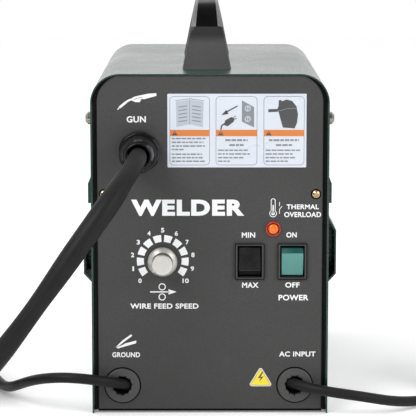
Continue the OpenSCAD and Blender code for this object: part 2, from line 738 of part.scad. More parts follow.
module control_board() color("#2f6b3a") {
    block([20, -75, 182], [22, 35, 262]);
    block([22, -65, 234], [32, -35, 254]);
    block([22, -22, 192], [36, 4, 212]);
    for (y = [-60, -46, 18]) bar_x(5, 22, 40, y, 204);
    for (y = [-72, 26]) block([13.5, y, 182], [20, y + 6, 188]);
}

module terminal_block() color("#d8d4c4") {
    block([30, -155, sheet], [80, -135, 12]);
    for (i = [0 : 3]) bar_z(3, 12, 18, 37 + 12 * i, -145);
}

// ---- fan ----

fan_at = [0, 150];
fan_front = rear_face - 27.5;               // front face of the fan frame

module fan_frame() color(black) {
    difference() {
        back_from(fan_front, 26) translate(fan_at) rounded(112, 112, 6);
        bar_y(53, fan_front - over, rear_face, fan_at[0], fan_at[1]);
    }
    difference() {
        back_from(fan_front + 22, 4) translate(fan_at) for (a = [45, 135]) rotate(a) square([108, 5], center = true);
        bar_y(2.05, fan_front + 20, rear_face, fan_at[0], fan_at[1]);
    }
    difference() {
        bar_y(14, fan_front + 22, fan_front + 26, fan_at[0], fan_at[1]);
        bar_y(2.05, fan_front + 20, rear_face, fan_at[0], fan_at[1]);
    }
}

module fan_rotor() color("#2b2d2f") translate([fan_at[0], 0, fan_at[1]]) {
    bar_y(18, fan_front + 3, fan_front + 20, 0, 0);
    bar_y(2, fan_front + 20, fan_front + 25.6, 0, 0);
    for (a = [0 : 360 / 7 : 359])
        rotate([0, a, 0]) translate([0, fan_front + 11.5, 16]) rotate([0, 0, 32]) translate([-11, -0.9, 0])
            cube([22, 1.8, 33]);
}

// ---- wire feeder and spool ----

feed_plate_x = 6;                           // left face of the feeder's mounting plate
roll_at = [-118, 196];                      // drive roll axis, as [y, z]
roll_r = 14;
press_roll_r = 9;
press_at = [roll_at[0], roll_at[1] + roll_r + press_roll_r];
arm_pivot = [roll_at[0] + 26, roll_at[1] + 22];

module feed_plate() color("#8e9295") {
    difference() {
        block([feed_plate_x, -152, 168], [12, -78, 240]);
        bar_x(4.05, 0, 20, roll_at[0], roll_at[1]);
        bar_x(2.5, 0, 20, arm_pivot[0], arm_pivot[1]);
    }
    bar_x(2.5, -14, 12, arm_pivot[0], arm_pivot[1]);
}

module feed_motor() color("#3c3f42") {
    difference() {
        bar_x(18, 13.5, 62, roll_at[0], roll_at[1]);
        bar_x(4.05, 13, 30, roll_at[0], roll_at[1]);
    }
}

module drive_roll() color(brass) {
    difference() {
        bar_x(roll_r, -8, 2, roll_at[0], roll_at[1]);
        translate([-3, roll_at[0], roll_at[1]]) rotate([0, 90, 0]) rotate_extrude() translate([roll_r, 0]) circle(0.6, $fn = 24);
    }
    bar_x(4, -8, 28, roll_at[0], roll_at[1]);
    bar_x(6, -12, -8, roll_at[0], roll_at[1]);
}

// Arm that holds the pressure roll down on the drive roll
module pressure_arm() color("#8e9295") difference() {
    union() {
        for (x = [-13.5, 2.6]) right_from(x, 2.9) {
            translate([arm_pivot[0], arm_pivot[1]]) circle(6.5);
            translate([press_at[0], press_at[1]]) circle(7);
            polygon([
                [arm_pivot[0], arm_pivot[1] + 6.5], [arm_pivot[0], arm_pivot[1] - 6.5],
                [press_at[0], press_at[1] - 7], [press_at[0] - 30, press_at[1] + 2],
                [press_at[0] - 30, press_at[1] + 9], [press_at[0], press_at[1] + 9]
            ]);
        }
        block([-13.5, press_at[0] - 30, press_at[1] + 11], [5.5, press_at[0] - 12, press_at[1] + 14]);
        for (x = [-13.5, 2.6]) block([x, press_at[0] - 30, press_at[1] + 5], [x + 2.9, press_at[0] - 12, press_at[1] + 12]);
        bar_x(2.5, -13.5, 5.5, press_at[0], press_at[1]);
    }
    bar_x(2.55, -20, 5.8, arm_pivot[0], arm_pivot[1]);
    bar_z(3.4, press_at[1] + 10, press_at[1] + 16, -4, press_at[0] - 21);
}

module pressure_roll() color("silver") difference() {
    bar_x(press_roll_r - 0.35, -8, 2, press_at[0], press_at[1]);
    bar_x(2.55, -9, 3, press_at[0], press_at[1]);
}

module tension_knob() color(black) {
    bar_z(3, press_at[1] - 4, press_at[1] + 14.4, -4, press_at[0] - 21);
    translate([-4, press_at[0] - 21, press_at[1] + 14.4]) linear_extrude(16) difference() {
        circle(8.5);
        for (a = [0 : 45 : 315]) rotate(a) translate([9.6, 0]) circle(2);
    }
}

module wire_guides() color("silver") {
    for (y = [roll_at[0] - 34, roll_at[0] + 16])
        difference() {
            bar_y(2.4, y, y + 18, -3, roll_at[1] + roll_r + 0.2);
            bar_y(0.8, y - 1, y + 19, -3, roll_at[1] + roll_r + 0.2);
        }
    for (y = [roll_at[0] - 32, roll_at[0] + 30]) block([-2, y, roll_at[1] + roll_r - 1.4], [feed_plate_x, y + 4, roll_at[1] + roll_r + 2]);
}

spool_at = [48, 150];                       // spool axis, as [y, z]
spool_r = 50;

module spool_shaft() color(zinc) {
    bar_x(7.9, -86, 12, spool_at[0], spool_at[1]);
    bar_x(14, -21.4, -17, spool_at[0], spool_at[1]);
    bar_x(22, 6, 12, spool_at[0], spool_at[1]);
}

module wire_spool() color("#20262c") difference() {
    union() {
        for (x = [-70, -25]) difference() {
            bar_x(spool_r, x, x + 3, spool_at[0], spool_at[1]);
            for (a = [0 : 60 : 300])
                bar_x(8, x - 1, x + 4, spool_at[0] + 34 * cos(a), spool_at[1] + 34 * sin(a));
        }
        bar_x(20, -70, -22, spool_at[0], spool_at[1]);
    }
    bar_x(8, -75, -20, spool_at[0], spool_at[1]);
}

module spool_wire() color("#9a9c9e") difference() {
    bar_x(42, -67, -25, spool_at[0], spool_at[1]);
    bar_x(20, -68, -24, spool_at[0], spool_at[1]);
}

module spool_nut() color("#d8b23c") {
    difference() {
        bar_x(13, -86, -71, spool_at[0], spool_at[1]);
        bar_x(7.9, -87, -60, spool_at[0], spool_at[1]);
    }
}

cabinet_cover();
base_pan();
front_panel();
rear_panel();
divider();
cover_screws();
panel_screws();
handle();
handle_screws();
hinge_leaf();
hinge_pin();
side_door();
door_latch();
speed_knob();
knob_shaft();
potentiometer();
current_switch();
current_rocker();
power_switch();
power_rocker();
lamp_bezel();
lamp_lens();
gun_gland();
gun_nut();
gun_cable();
gun_coil();
torch_handle();
torch_trigger();
torch_neck();
torch_nozzle();
ground_grommet();
ground_cable();
ground_coil();
clamp_base();
clamp_jaw();
clamp_contact();
clamp_spring();
power_grommet();
power_cord();
power_coil();
power_plug();
plug_blades();
transformer_core();
transformer_windings();
rectifier();
control_board();
terminal_block();
fan_frame();
fan_rotor();
feed_plate();
feed_motor();
drive_roll();
pressure_arm();
pressure_roll();
tension_knob();
wire_guides();
spool_shaft();
wire_spool();
spool_wire();
spool_nut();
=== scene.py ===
import math
import random
import bmesh
import bpy
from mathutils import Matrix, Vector


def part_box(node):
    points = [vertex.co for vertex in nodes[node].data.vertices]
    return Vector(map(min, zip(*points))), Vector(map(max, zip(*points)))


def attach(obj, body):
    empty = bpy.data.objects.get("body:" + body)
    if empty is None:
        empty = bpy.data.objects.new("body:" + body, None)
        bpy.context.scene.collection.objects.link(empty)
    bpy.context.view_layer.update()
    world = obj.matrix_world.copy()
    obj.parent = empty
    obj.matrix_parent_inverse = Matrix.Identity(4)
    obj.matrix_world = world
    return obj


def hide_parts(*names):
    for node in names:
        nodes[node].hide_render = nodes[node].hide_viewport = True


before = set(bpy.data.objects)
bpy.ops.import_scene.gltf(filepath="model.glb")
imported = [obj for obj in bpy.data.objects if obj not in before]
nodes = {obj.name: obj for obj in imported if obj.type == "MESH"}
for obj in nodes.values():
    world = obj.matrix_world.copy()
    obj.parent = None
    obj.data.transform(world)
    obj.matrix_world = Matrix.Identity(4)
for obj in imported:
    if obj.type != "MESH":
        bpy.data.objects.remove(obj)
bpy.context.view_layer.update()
mm = 0.001

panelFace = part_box("front_panel")[0].y / mm     # where the front panel's face lies, in millimetres
print("frame loaded:", len(nodes), "nodes")


def middleOf(name):
    # across and height of the middle of a carried-over part, in millimetres
    low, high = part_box(name)
    return (low.x + high.x) / 2 / mm, (low.z + high.z) / 2 / mm


def addObject(name, data):
    thing = bpy.data.objects.new(name, data)
    bpy.context.scene.collection.objects.link(thing)
    return thing


def addNode(tree, kind, values=()):
    # a shader node with its constants set on its own sockets
    node = tree.nodes.new("ShaderNode" + kind)
    for label, value in dict(values).items():
        node.inputs[label].default_value = value
    return node


def joinUp(tree, *pairs):
    for source, target in pairs:
        tree.links.new(source, target)


cameraSetup = {
    "place": (-0.0049, -1.951, 0.4475),
    "lookDown": 8.578,      # degrees below the horizon
    "lookRight": 0.104,
    "lens": 182.4,
    "sensor": 36.0,
}
lightSetup = {
    "worldFront": 0.30,     # brightness of the room behind the camera
    "worldBack": 1.2,
    "keyPower": 58.0,
    "keyPlace": (-1.3, -1.9, 1.9),
    "keySize": 1.6,
    "fillPower": 26.0,
    "fillPlace": (1.7, -1.5, 1.1),
    "fillSize": 1.5,
    "aim": (0, 0, 0.15),
    "floorSize": 9.0,
}


def addCamera():
    data = bpy.data.cameras.new("productCamera")
    data.lens = cameraSetup["lens"]
    data.sensor_width = cameraSetup["sensor"]
    data.clip_start = 0.05
    data.clip_end = 50
    camera = addObject("productCamera", data)
    camera.location = cameraSetup["place"]
    camera.rotation_euler = (
        math.radians(90 - cameraSetup["lookDown"]), 0, -math.radians(cameraSetup["lookRight"])
    )
    bpy.context.scene.camera = camera


def addArea(name, place, size, power):
    data = bpy.data.lights.new(name, "AREA")
    data.shape = "DISK"
    data.size = size
    data.energy = power
    light = addObject(name, data)
    light.location = place
    light.rotation_euler = (Vector(lightSetup["aim"]) - Vector(place)).to_track_quat("-Z", "Y").to_euler()


def addWorld():
    # a pale room that is brighter behind the machine, and plain white where the camera sees it
    world = bpy.data.worlds.new("paleRoom")
    world.use_nodes = True
    bpy.context.scene.world = world
    tree = world.node_tree
    tree.nodes.clear()
    coord = addNode(tree, "TexCoord")
    split = addNode(tree, "SeparateXYZ")
    across = addNode(tree, "MapRange", {
        "From Min": -0.6, "From Max": 0.5,
        "To Min": lightSetup["worldFront"], "To Max": lightSetup["worldBack"],
    })
    lightPath = addNode(tree, "LightPath")
    seen = addNode(tree, "Mix", {"B": 1.0})
    background = addNode(tree, "Background", {"Color": (1, 1, 1, 1)})
    output = addNode(tree, "OutputWorld")
    joinUp(
        tree,
        (coord.outputs["Generated"], split.inputs[0]),
        (split.outputs["Y"], across.inputs["Value"]),
        (lightPath.outputs["Is Camera Ray"], seen.inputs["Factor"]),
        (across.outputs["Result"], seen.inputs["A"]),
        (seen.outputs["Result"], background.inputs["Strength"]),
        (background.outputs[0], output.inputs["Surface"]),
    )


addCamera()
addWorld()
addArea("keyLight", lightSetup["keyPlace"], lightSetup["keySize"], lightSetup["keyPower"])
addArea("fillLight", lightSetup["fillPlace"], lightSetup["fillSize"], lightSetup["fillPower"])
bpy.context.scene.view_settings.view_transform = "Standard"
print("camera and lights set")


def newGroup(name, scale, outputs):
    # every shared effect takes a place and a scale, and puts out masks or heights
    group = bpy.data.node_groups.new(name, "ShaderNodeTree")
    group.interface.new_socket("Vector", in_out="INPUT", socket_type="NodeSocketVector")
    size = group.interface.new_socket("Scale", in_out="INPUT", socket_type="NodeSocketFloat")
    size.default_value = scale
    for label in outputs:
        group.interface.new_socket(label, in_out="OUTPUT", socket_type="NodeSocketFloat")
    return group, group.nodes.new("NodeGroupInput"), group.nodes.new("NodeGroupOutput")


def makeGrainGroup():
    # fine speckle of a textured finish: a colour mask and a height
    group, start, end = newGroup("fineGrain", 900.0, ["Mask", "Height"])
    noise = addNode(group, "TexNoise", {"Detail": 3.0})
    cells = addNode(group, "TexVoronoi")
    both = addNode(group, "Math", {1: 0.5})
    both.operation = "MULTIPLY_ADD"
    spread = addNode(group, "MapRange", {"From Min": 0.38, "From Max": 0.66})
    joinUp(
        group,
        (start.outputs["Vector"], noise.inputs["Vector"]),
        (start.outputs["Scale"], noise.inputs["Scale"]),
        (start.outputs["Vector"], cells.inputs["Vector"]),
        (start.outputs["Scale"], cells.inputs["Scale"]),
        (cells.outputs["Distance"], both.inputs[0]),
        (noise.outputs["Fac"], both.inputs[2]),
        (noise.outputs["Fac"], spread.inputs["Value"]),
        (spread.outputs["Result"], end.inputs["Mask"]),
        (both.outputs[0], end.inputs["Height"]),
    )
    return group


def makePatchGroup():
    # slow change of tone over a surface
    group, start, end = newGroup("slowPatches", 12.0, ["Mask"])
    noise = addNode(group, "TexNoise", {"Detail": 5.0, "Roughness": 0.62})
    spread = addNode(group, "MapRange", {"From Min": 0.32, "From Max": 0.68})
    joinUp(
        group,
        (start.outputs["Vector"], noise.inputs["Vector"]),
        (start.outputs["Scale"], noise.inputs["Scale"]),
        (noise.outputs["Fac"], spread.inputs["Value"]),
        (spread.outputs["Result"], end.inputs["Mask"]),
    )
    return group


def makeWearGroup():
    # light dust on faces that look up, and a few fine scuffs
    group, start, end = newGroup("dustAndScuffs", 60.0, ["Dust", "Scuffs"])
    geometry = addNode(group, "NewGeometry")
    split = addNode(group, "SeparateXYZ")
    upward = addNode(group, "MapRange", {"From Min": 0.35, "From Max": 1.0})
    cloud = addNode(group, "TexNoise", {"Detail": 6.0})
    dust = addNode(group, "Math")
    dust.operation = "MULTIPLY"
    stretch = addNode(group, "Mapping", {"Scale": (1.0, 7.0, 0.55), "Rotation": (0.4, 0.3, 0.5)})
    lines = addNode(group, "TexNoise", {"Detail": 2.0})
    thin = addNode(group, "MapRange", {"From Min": 0.70, "From Max": 0.76})
    joinUp(
        group,
        (geometry.outputs["Normal"], split.inputs[0]),
        (split.outputs["Z"], upward.inputs["Value"]),
        (start.outputs["Vector"], cloud.inputs["Vector"]),
        (start.outputs["Scale"], cloud.inputs["Scale"]),
        (upward.outputs["Result"], dust.inputs[0]),
        (cloud.outputs["Fac"], dust.inputs[1]),
        (start.outputs["Vector"], stretch.inputs["Vector"]),
        (stretch.outputs["Vector"], lines.inputs["Vector"]),
        (start.outputs["Scale"], lines.inputs["Scale"]),
        (lines.outputs["Fac"], thin.inputs["Value"]),
        (dust.outputs[0], end.inputs["Dust"]),
        (thin.outputs["Result"], end.inputs["Scuffs"]),
    )
    return group


grainGroup = makeGrainGroup()
patchGroup = makePatchGroup()
wearGroup = makeWearGroup()
wearScale = 45
print("shader groups made")


def makeFinish(name, base, shade, rough, grain=900, bump=0.1, depth=0.0002, patch=12, metallic=0.0,
               speck=0.15, dust=0.08, scuff=0.1, stretch=(1, 1, 1), shine=0.5, bands=None, fade=None,
               sockets=()):
    # base and shade are the two tones, rough is the range of roughness, grain and patch are cells per metre,
    # shine is how strongly the surface mirrors the room,
    # bands is (axis, lines per metre) for laminations or windings,
    # fade is (from height, to height, tone) of painted shade that darkens a part upwards
    material = bpy.data.materials.new(name)
    material.use_nodes = True
    tree = material.node_tree
    links = tree.links
    shader = tree.nodes["Principled BSDF"]
    coord = addNode(tree, "TexCoord")
    mapping = addNode(tree, "Mapping", {"Scale": stretch})
    links.new(coord.outputs["Object"], mapping.inputs["Vector"])

    def place(group, scale):
        node = tree.nodes.new("ShaderNodeGroup")
        node.node_tree = group
        node.inputs["Scale"].default_value = scale
        links.new(mapping.outputs["Vector"], node.inputs["Vector"])
        return node

    def blend(factor, a, b, strength=None):
        # a where the factor is 0, b where it is 1; each is a tone or the output of another node
        mix = addNode(tree, "Mix")
        mix.data_type = "RGBA"
        if strength is not None:
            scaled = addNode(tree, "Math", {1: strength})
            scaled.operation = "MULTIPLY"
            links.new(factor, scaled.inputs[0])
            factor = scaled.outputs[0]
        links.new(factor, mix.inputs["Factor"])
        for value, socket in ((a, mix.inputs[6]), (b, mix.inputs[7])):
            if isinstance(value, tuple):
                socket.default_value = (*value, 1)
            else:
                links.new(value, socket)
        return mix.outputs[2]

    patches = place(patchGroup, patch)
    speckle = place(grainGroup, grain)
    wear = place(wearGroup, wearScale)
    colour = blend(patches.outputs["Mask"], base, shade)
    dark = tuple(c * 0.45 for c in base)
    colour = blend(speckle.outputs["Mask"], colour, dark, speck)
    height = speckle.outputs["Height"]
    if bands:
        axis, count = bands
        wave = addNode(tree, "TexWave", {"Scale": count / 20 * math.pi, "Distortion": 0.25, "Detail": 1.0})
        wave.bands_direction = axis
        links.new(mapping.outputs["Vector"], wave.inputs["Vector"])
        colour = blend(wave.outputs["Fac"], dark, colour)
        height = wave.outputs["Fac"]
    if fade:
        # painted shade: the colour darkens towards the tone between the two heights
        low, high, tone = fade
        split = addNode(tree, "SeparateXYZ")
        rise = addNode(tree, "MapRange", {"From Min": low, "From Max": high})
        rise.interpolation_type = "SMOOTHSTEP"
        links.new(coord.outputs["Object"], split.inputs[0])
        links.new(split.outputs["Z"], rise.inputs["Value"])
        colour = blend(rise.outputs["Result"], colour, tone)
    lightTone = tuple(min(1.0, c * 1.6 + 0.08) for c in base)
    dustTone = (0.55, 0.54, 0.52)
    colour = blend(wear.outputs["Scuffs"], colour, lightTone, scuff)
    colour = blend(wear.outputs["Dust"], colour, dustTone, dust)
    ranged = addNode(tree, "MapRange", {"To Min": rough[0], "To Max": rough[1]})
    relief = addNode(tree, "Bump", {"Strength": bump, "Distance": depth})
    joinUp(
        tree,
        (colour, shader.inputs["Base Color"]),
        (patches.outputs["Mask"], ranged.inputs["Value"]),
        (ranged.outputs["Result"], shader.inputs["Roughness"]),
        (height, relief.inputs["Height"]),
        (relief.outputs["Normal"], shader.inputs["Normal"]),
    )
    shader.inputs["Metallic"].default_value = metallic
    shader.inputs["Specular IOR Level"].default_value = shine
    for label, value in dict(sockets).items():
        shader.inputs[label].default_value = value
    return material


clean = dict(dust=0.0, scuff=0.0)
printed = dict(clean, rough=(0.3, 0.4), bump=0.04)
finishSetup = {
    "greenPaint": dict(
        base=(0.007, 0.034, 0.026), shade=(0.010, 0.044, 0.034), rough=(0.22, 0.32), grain=520, bump=0.6,
        depth=0.0004, speck=0.5, patch=9, dust=0.05, scuff=0.05
    ),
    "panelPaint": dict(
        base=(0.036, 0.0355, 0.035), shade=(0.045, 0.0445, 0.044), rough=(0.5, 0.6), grain=1300,
        bump=0.25, depth=0.00012, speck=0.35, patch=7, dust=0.02, scuff=0.03, shine=0.3
    ),
    "blackSteel": dict(base=(0.012, 0.012, 0.012), shade=(0.018, 0.018, 0.018), rough=(0.4, 0.55)),
    "zincSteel": dict(
        base=(0.55, 0.56, 0.57), shade=(0.44, 0.46, 0.49), rough=(0.28, 0.45), grain=240, metallic=1.0,
        bump=0.06, stretch=(1, 0.25, 1), dust=0.03
    ),
    "chromeScrew": dict(
        base=(0.34, 0.31, 0.29), shade=(0.24, 0.22, 0.21), rough=(0.14, 0.26), metallic=1.0, bump=0.05,
        speck=0.2, patch=160
    ),
    "brassScrew": dict(
        base=(0.46, 0.36, 0.21), shade=(0.34, 0.24, 0.12), rough=(0.18, 0.32), metallic=1.0, bump=0.05,
        speck=0.25, patch=200
    ),
    # painted shade: the handle plastic darkens upwards over the sunk top through its fade
    "handlePlastic": dict(
        base=(0.048, 0.047, 0.047), shade=(0.060, 0.059, 0.059), rough=(0.42, 0.54), grain=1100, bump=0.3,
        depth=0.00015, patch=30, dust=0.0, scuff=0.02, speck=0.35,
        fade=(0.3145, 0.3245, (0.006, 0.006, 0.006)), shine=0.3
    ),
    # painted highlight: a lighter copy of the handle plastic for the slopes beside the sunk top
    "handleEdgeHighlight": dict(
        base=(0.105, 0.104, 0.102), shade=(0.13, 0.129, 0.127), rough=(0.4, 0.5), grain=1100, bump=0.2,
        depth=0.00015, patch=30, dust=0.0, scuff=0.02
    ),
    "mouldedBlack": dict(
        base=(0.003, 0.003, 0.0033), shade=(0.005, 0.005, 0.0055), rough=(0.08, 0.15), grain=500,
        bump=0.05, patch=40, dust=0.01, scuff=0.02, shine=0.24
    ),
    "bezelPlastic": dict(
        base=(0.022, 0.021, 0.021), shade=(0.030, 0.029, 0.029), rough=(0.42, 0.55), grain=1500,
        bump=0.15, patch=60, dust=0.02, scuff=0.02
    ),
    "rockerBlack": dict(
        base=(0.007, 0.007, 0.007), shade=(0.011, 0.011, 0.011), rough=(0.22, 0.32), bump=0.06, patch=70,
        dust=0.0, scuff=0.02, shine=0.3
    ),
    "rockerGreen": dict(
        base=(0.050, 0.185, 0.165), shade=(0.066, 0.220, 0.197), rough=(0.18, 0.28), grain=500, bump=0.04,
        patch=60, speck=0.06, dust=0.02, scuff=0.03,
        sockets={"Subsurface Weight": 0.15, "Subsurface Radius": (0.002, 0.004, 0.004)}
    ),
    # painted shade: a darker copy of the black rocker for its short sloping end
    "rockerBlackEnd": dict(
        clean, base=(0.004, 0.004, 0.004), shade=(0.007, 0.007, 0.007), rough=(0.3, 0.4), bump=0.06,
        patch=70, shine=0.05
    ),
    # painted shade: a darker copy of the green rocker for its short sloping end
    "rockerGreenEnd": dict(
        clean, base=(0.005, 0.050, 0.044), shade=(0.007, 0.062, 0.055), rough=(0.32, 0.42), grain=500,
        bump=0.04, patch=60, speck=0.06, shine=0.2
    ),
    "knobMetal": dict(
        base=(0.62, 0.61, 0.57), shade=(0.52, 0.51, 0.48), rough=(0.30, 0.42), grain=1800, metallic=0.85,
        bump=0.12, depth=0.0001, patch=50, speck=0.12, dust=0.02, scuff=0.02
    ),
    "lampRed": dict(
        clean, base=(0.36, 0.016, 0.004), shade=(0.46, 0.028, 0.007), rough=(0.16, 0.24), grain=500,
        bump=0.04, speck=0.05, patch=120, sockets={"Subsurface Weight": 0.2}
    ),
    # painted shade: a darker copy of the red for the ring's inner faces down into the groove round the lens
    "lampRedShade": dict(
        clean, base=(0.10, 0.004, 0.002), shade=(0.14, 0.006, 0.003), rough=(0.2, 0.3), grain=500,
        bump=0.04, speck=0.05, patch=120, shine=0.2
    ),
    "lampAmber": dict(
        clean, base=(0.50, 0.065, 0.003), shade=(0.80, 0.20, 0.012), rough=(0.1, 0.18), grain=300,
        bump=0.3, depth=0.0004, speck=0.1, patch=420,
        sockets={"Emission Color": (1.0, 0.22, 0.01, 1), "Emission Strength": 0.04}
    ),
    "cableRubber": dict(
        base=(0.006, 0.0059, 0.0057), shade=(0.012, 0.0117, 0.0114), rough=(0.42, 0.55), grain=700,
        bump=0.22, patch=35, speck=0.3, dust=0.01, scuff=0.05, shine=0.15
    ),
    "bushRubber": dict(
        base=(0.036, 0.036, 0.035), shade=(0.046, 0.045, 0.044), rough=(0.5, 0.62), bump=0.2, patch=60,
        speck=0.2, dust=0.02, scuff=0.03
    ),
    "plugPlastic": dict(
        base=(0.016, 0.016, 0.016), shade=(0.024, 0.024, 0.024), rough=(0.4, 0.52), grain=800, bump=0.15,
        patch=40
    ),
    "torchPlastic": dict(
        base=(0.014, 0.014, 0.015), shade=(0.022, 0.022, 0.023), rough=(0.34, 0.48), grain=1100,
        bump=0.25, patch=30
    ),
    "torchBrass": dict(
        base=(0.70, 0.52, 0.27), shade=(0.52, 0.36, 0.17), rough=(0.24, 0.4), metallic=1.0, bump=0.05,
        patch=60, grain=600
    ),
    "torchCopper": dict(
        base=(0.72, 0.42, 0.27), shade=(0.48, 0.26, 0.16), rough=(0.25, 0.45), metallic=1.0, bump=0.06,
        patch=90, grain=700
    ),
    "clampSteel": dict(
        base=(0.52, 0.53, 0.54), shade=(0.38, 0.39, 0.42), rough=(0.3, 0.48), metallic=1.0, bump=0.08,
        patch=45, grain=500, stretch=(1, 1, 0.3)
    ),
    "coreSteel": dict(
        base=(0.12, 0.12, 0.125), shade=(0.19, 0.18, 0.18), rough=(0.35, 0.5), metallic=0.8, bump=0.5,
        depth=0.0004, bands=("Y", 900)
    ),
    "windingCopper": dict(
        base=(0.42, 0.17, 0.07), shade=(0.55, 0.25, 0.11), rough=(0.25, 0.35), metallic=0.6, bump=0.8,
        depth=0.0008, bands=("Z", 420)
    ),
    "bareAluminium": dict(
        base=(0.64, 0.65, 0.66), shade=(0.52, 0.53, 0.55), rough=(0.3, 0.44), metallic=1.0, bump=0.07,
        grain=300, stretch=(1, 0.2, 1)
    ),
    "boardGreen": dict(
        base=(0.02, 0.13, 0.045), shade=(0.03, 0.18, 0.06), rough=(0.22, 0.35), grain=420, bump=0.25,
        speck=0.4, patch=120
    ),
    "terminalPlastic": dict(
        base=(0.62, 0.60, 0.50), shade=(0.70, 0.67, 0.58), rough=(0.35, 0.45), bump=0.08
    ),
    "motorBlack": dict(base=(0.03, 0.03, 0.034), shade=(0.045, 0.045, 0.05), rough=(0.3, 0.42)),
    "rollerSteel": dict(
        base=(0.50, 0.50, 0.51), shade=(0.40, 0.41, 0.42), rough=(0.2, 0.34), metallic=1.0, bump=0.05
    ),
    "woundWire": dict(
        base=(0.52, 0.50, 0.47), shade=(0.42, 0.40, 0.38), rough=(0.25, 0.38), metallic=1.0, bump=0.9,
        depth=0.0006, bands=("X", 1100)
    ),
    "nutPlastic": dict(base=(0.70, 0.47, 0.07), shade=(0.60, 0.38, 0.05), rough=(0.28, 0.38), bump=0.06),
    "spoolPlastic": dict(
        base=(0.018, 0.022, 0.028), shade=(0.026, 0.03, 0.037), rough=(0.3, 0.42), bump=0.08
    ),
    "inkWhite": dict(
        printed, base=(0.70, 0.71, 0.72), shade=(0.64, 0.65, 0.66), rough=(0.45, 0.55), grain=1600,
        bump=0.08, speck=0.04
    ),
    "labelWhite": dict(
        printed, base=(0.485, 0.52, 0.58), shade=(0.52, 0.55, 0.605), rough=(0.25, 0.35), speck=0.03
    ),
    "labelGrey": dict(printed, base=(0.16, 0.17, 0.18), shade=(0.20, 0.21, 0.22), speck=0.08),
    "labelDark": dict(printed, base=(0.045, 0.046, 0.048), shade=(0.06, 0.06, 0.062), speck=0.08),
    "labelPale": dict(printed, base=(0.33, 0.37, 0.43), shade=(0.36, 0.395, 0.45), speck=0.04),
    "labelOrange": dict(printed, base=(0.50, 0.145, 0.027), shade=(0.55, 0.17, 0.036), speck=0.06),
    "labelYellow": dict(printed, base=(0.68, 0.55, 0.015), shade=(0.72, 0.58, 0.025), speck=0.06),
    # painted shade: a darker copy of the knob metal for the fluted side of the cap
    "knurlShadeMetal": dict(
        base=(0.20, 0.195, 0.175), shade=(0.14, 0.135, 0.12), rough=(0.32, 0.45), grain=1200,
        metallic=0.8, patch=90, dust=0.0
    ),
    # painted shade: near-black for the handle's sunk top, the gap inside the cover's lip and the panel's
    # lower edge
    "paintedShadeSatin": dict(
        base=(0.002, 0.002, 0.002), shade=(0.004, 0.004, 0.004), rough=(0.34, 0.46), bump=0.12, patch=30,
        dust=0.0, scuff=0.02, shine=0.04
    ),
    # painted shade: near-black for the bush throats and the dark lines round the bushes, screws and switches
    "paintedShadeBlack": dict(
        clean, base=(0.002, 0.002, 0.002), shade=(0.003, 0.003, 0.003), rough=(0.6, 0.75), shine=0.02
    ),
    "paleFloor": dict(
        clean, base=(0.88, 0.88, 0.88), shade=(0.91, 0.91, 0.91), rough=(0.6, 0.7), grain=60, bump=0.02,
        speck=0.02, sockets={"Emission Color": (1, 1, 1, 1), "Emission Strength": 0.22}
    ),
}
finishes = {name: makeFinish(name, **setup) for name, setup in finishSetup.items()}
print("finishes made:", len(finishes))

cadFinish = {
    "greenPaint": ["cabinet_cover", "side_door"],
    "panelPaint": ["front_panel", "rear_panel"],
    "blackSteel": ["base_pan"],
    "zincSteel": ["divider", "hinge_leaf", "hinge_pin", "handle_screws", "knob_shaft", "spool_shaft",
                  "plug_blades", "wire_guides", "potentiometer"],
    "chromeScrew": ["cover_screws"],
    "brassScrew": ["panel_screws"],
    "handlePlastic": ["handle"],
    "mouldedBlack": ["door_latch", "gun_gland", "gun_nut", "fan_frame", "fan_rotor", "tension_knob"],
    "bezelPlastic": ["current_switch", "power_switch"],
    "rockerBlack": ["current_rocker"],
    "rockerGreen": ["power_rocker"],
    "knobMetal": ["speed_knob"],
    "lampRed": ["lamp_bezel"],
    "lampAmber": ["lamp_lens"],
    "cableRubber": ["gun_cable", "gun_coil", "ground_cable", "ground_coil", "power_cord", "power_coil"],
    "bushRubber": ["ground_grommet", "power_grommet"],
    "plugPlastic": ["power_plug"],
    "torchPlastic": ["torch_handle", "torch_trigger"],
    "torchBrass": ["torch_neck", "drive_roll"],
    "torchCopper": ["torch_nozzle", "clamp_contact"],
    "clampSteel": ["clamp_base", "clamp_jaw", "clamp_spring"],
    "coreSteel": ["transformer_core"],
    "windingCopper": ["transformer_windings"],
    "bareAluminium": ["rectifier", "feed_plate", "pressure_arm"],
    "boardGreen": ["control_board"],
    "terminalPlastic": ["terminal_block"],
    "motorBlack": ["feed_motor"],
    "rollerSteel": ["pressure_roll"],
    "woundWire": ["spool_wire"],
    "nutPlastic": ["spool_nut"],
    "spoolPlastic": ["wire_spool"],
}
for finishName, names in cadFinish.items():
    for name in names:
        nodes[name].data.materials.clear()
        nodes[name].data.materials.append(finishes[finishName])


print("carried-over parts finished")


def softenEdges(name, width):
    # rounds the hard edges of a carried-over part
    weld = nodes[name].modifiers.new("joinCorners", "WELD")
    weld.merge_threshold = 0.00001
    bevel = nodes[name].modifiers.new("softEdges", "BEVEL")
    bevel.width = width * mm
    bevel.segments = 2
    bevel.limit_method = "ANGLE"
    bevel.angle_limit = math.radians(35)
    bevel.harden_normals = True


def addFloor():
    mesh = bpy.data.meshes.new("floor")
    bm = bmesh.new()
    bmesh.ops.create_grid(bm, x_segments=4, y_segments=4, size=lightSetup["floorSize"] / 2)
    bm.to_mesh(mesh)
    bm.free()
    mesh.materials.append(finishes["paleFloor"])
    addObject("floor", mesh)


addFloor()

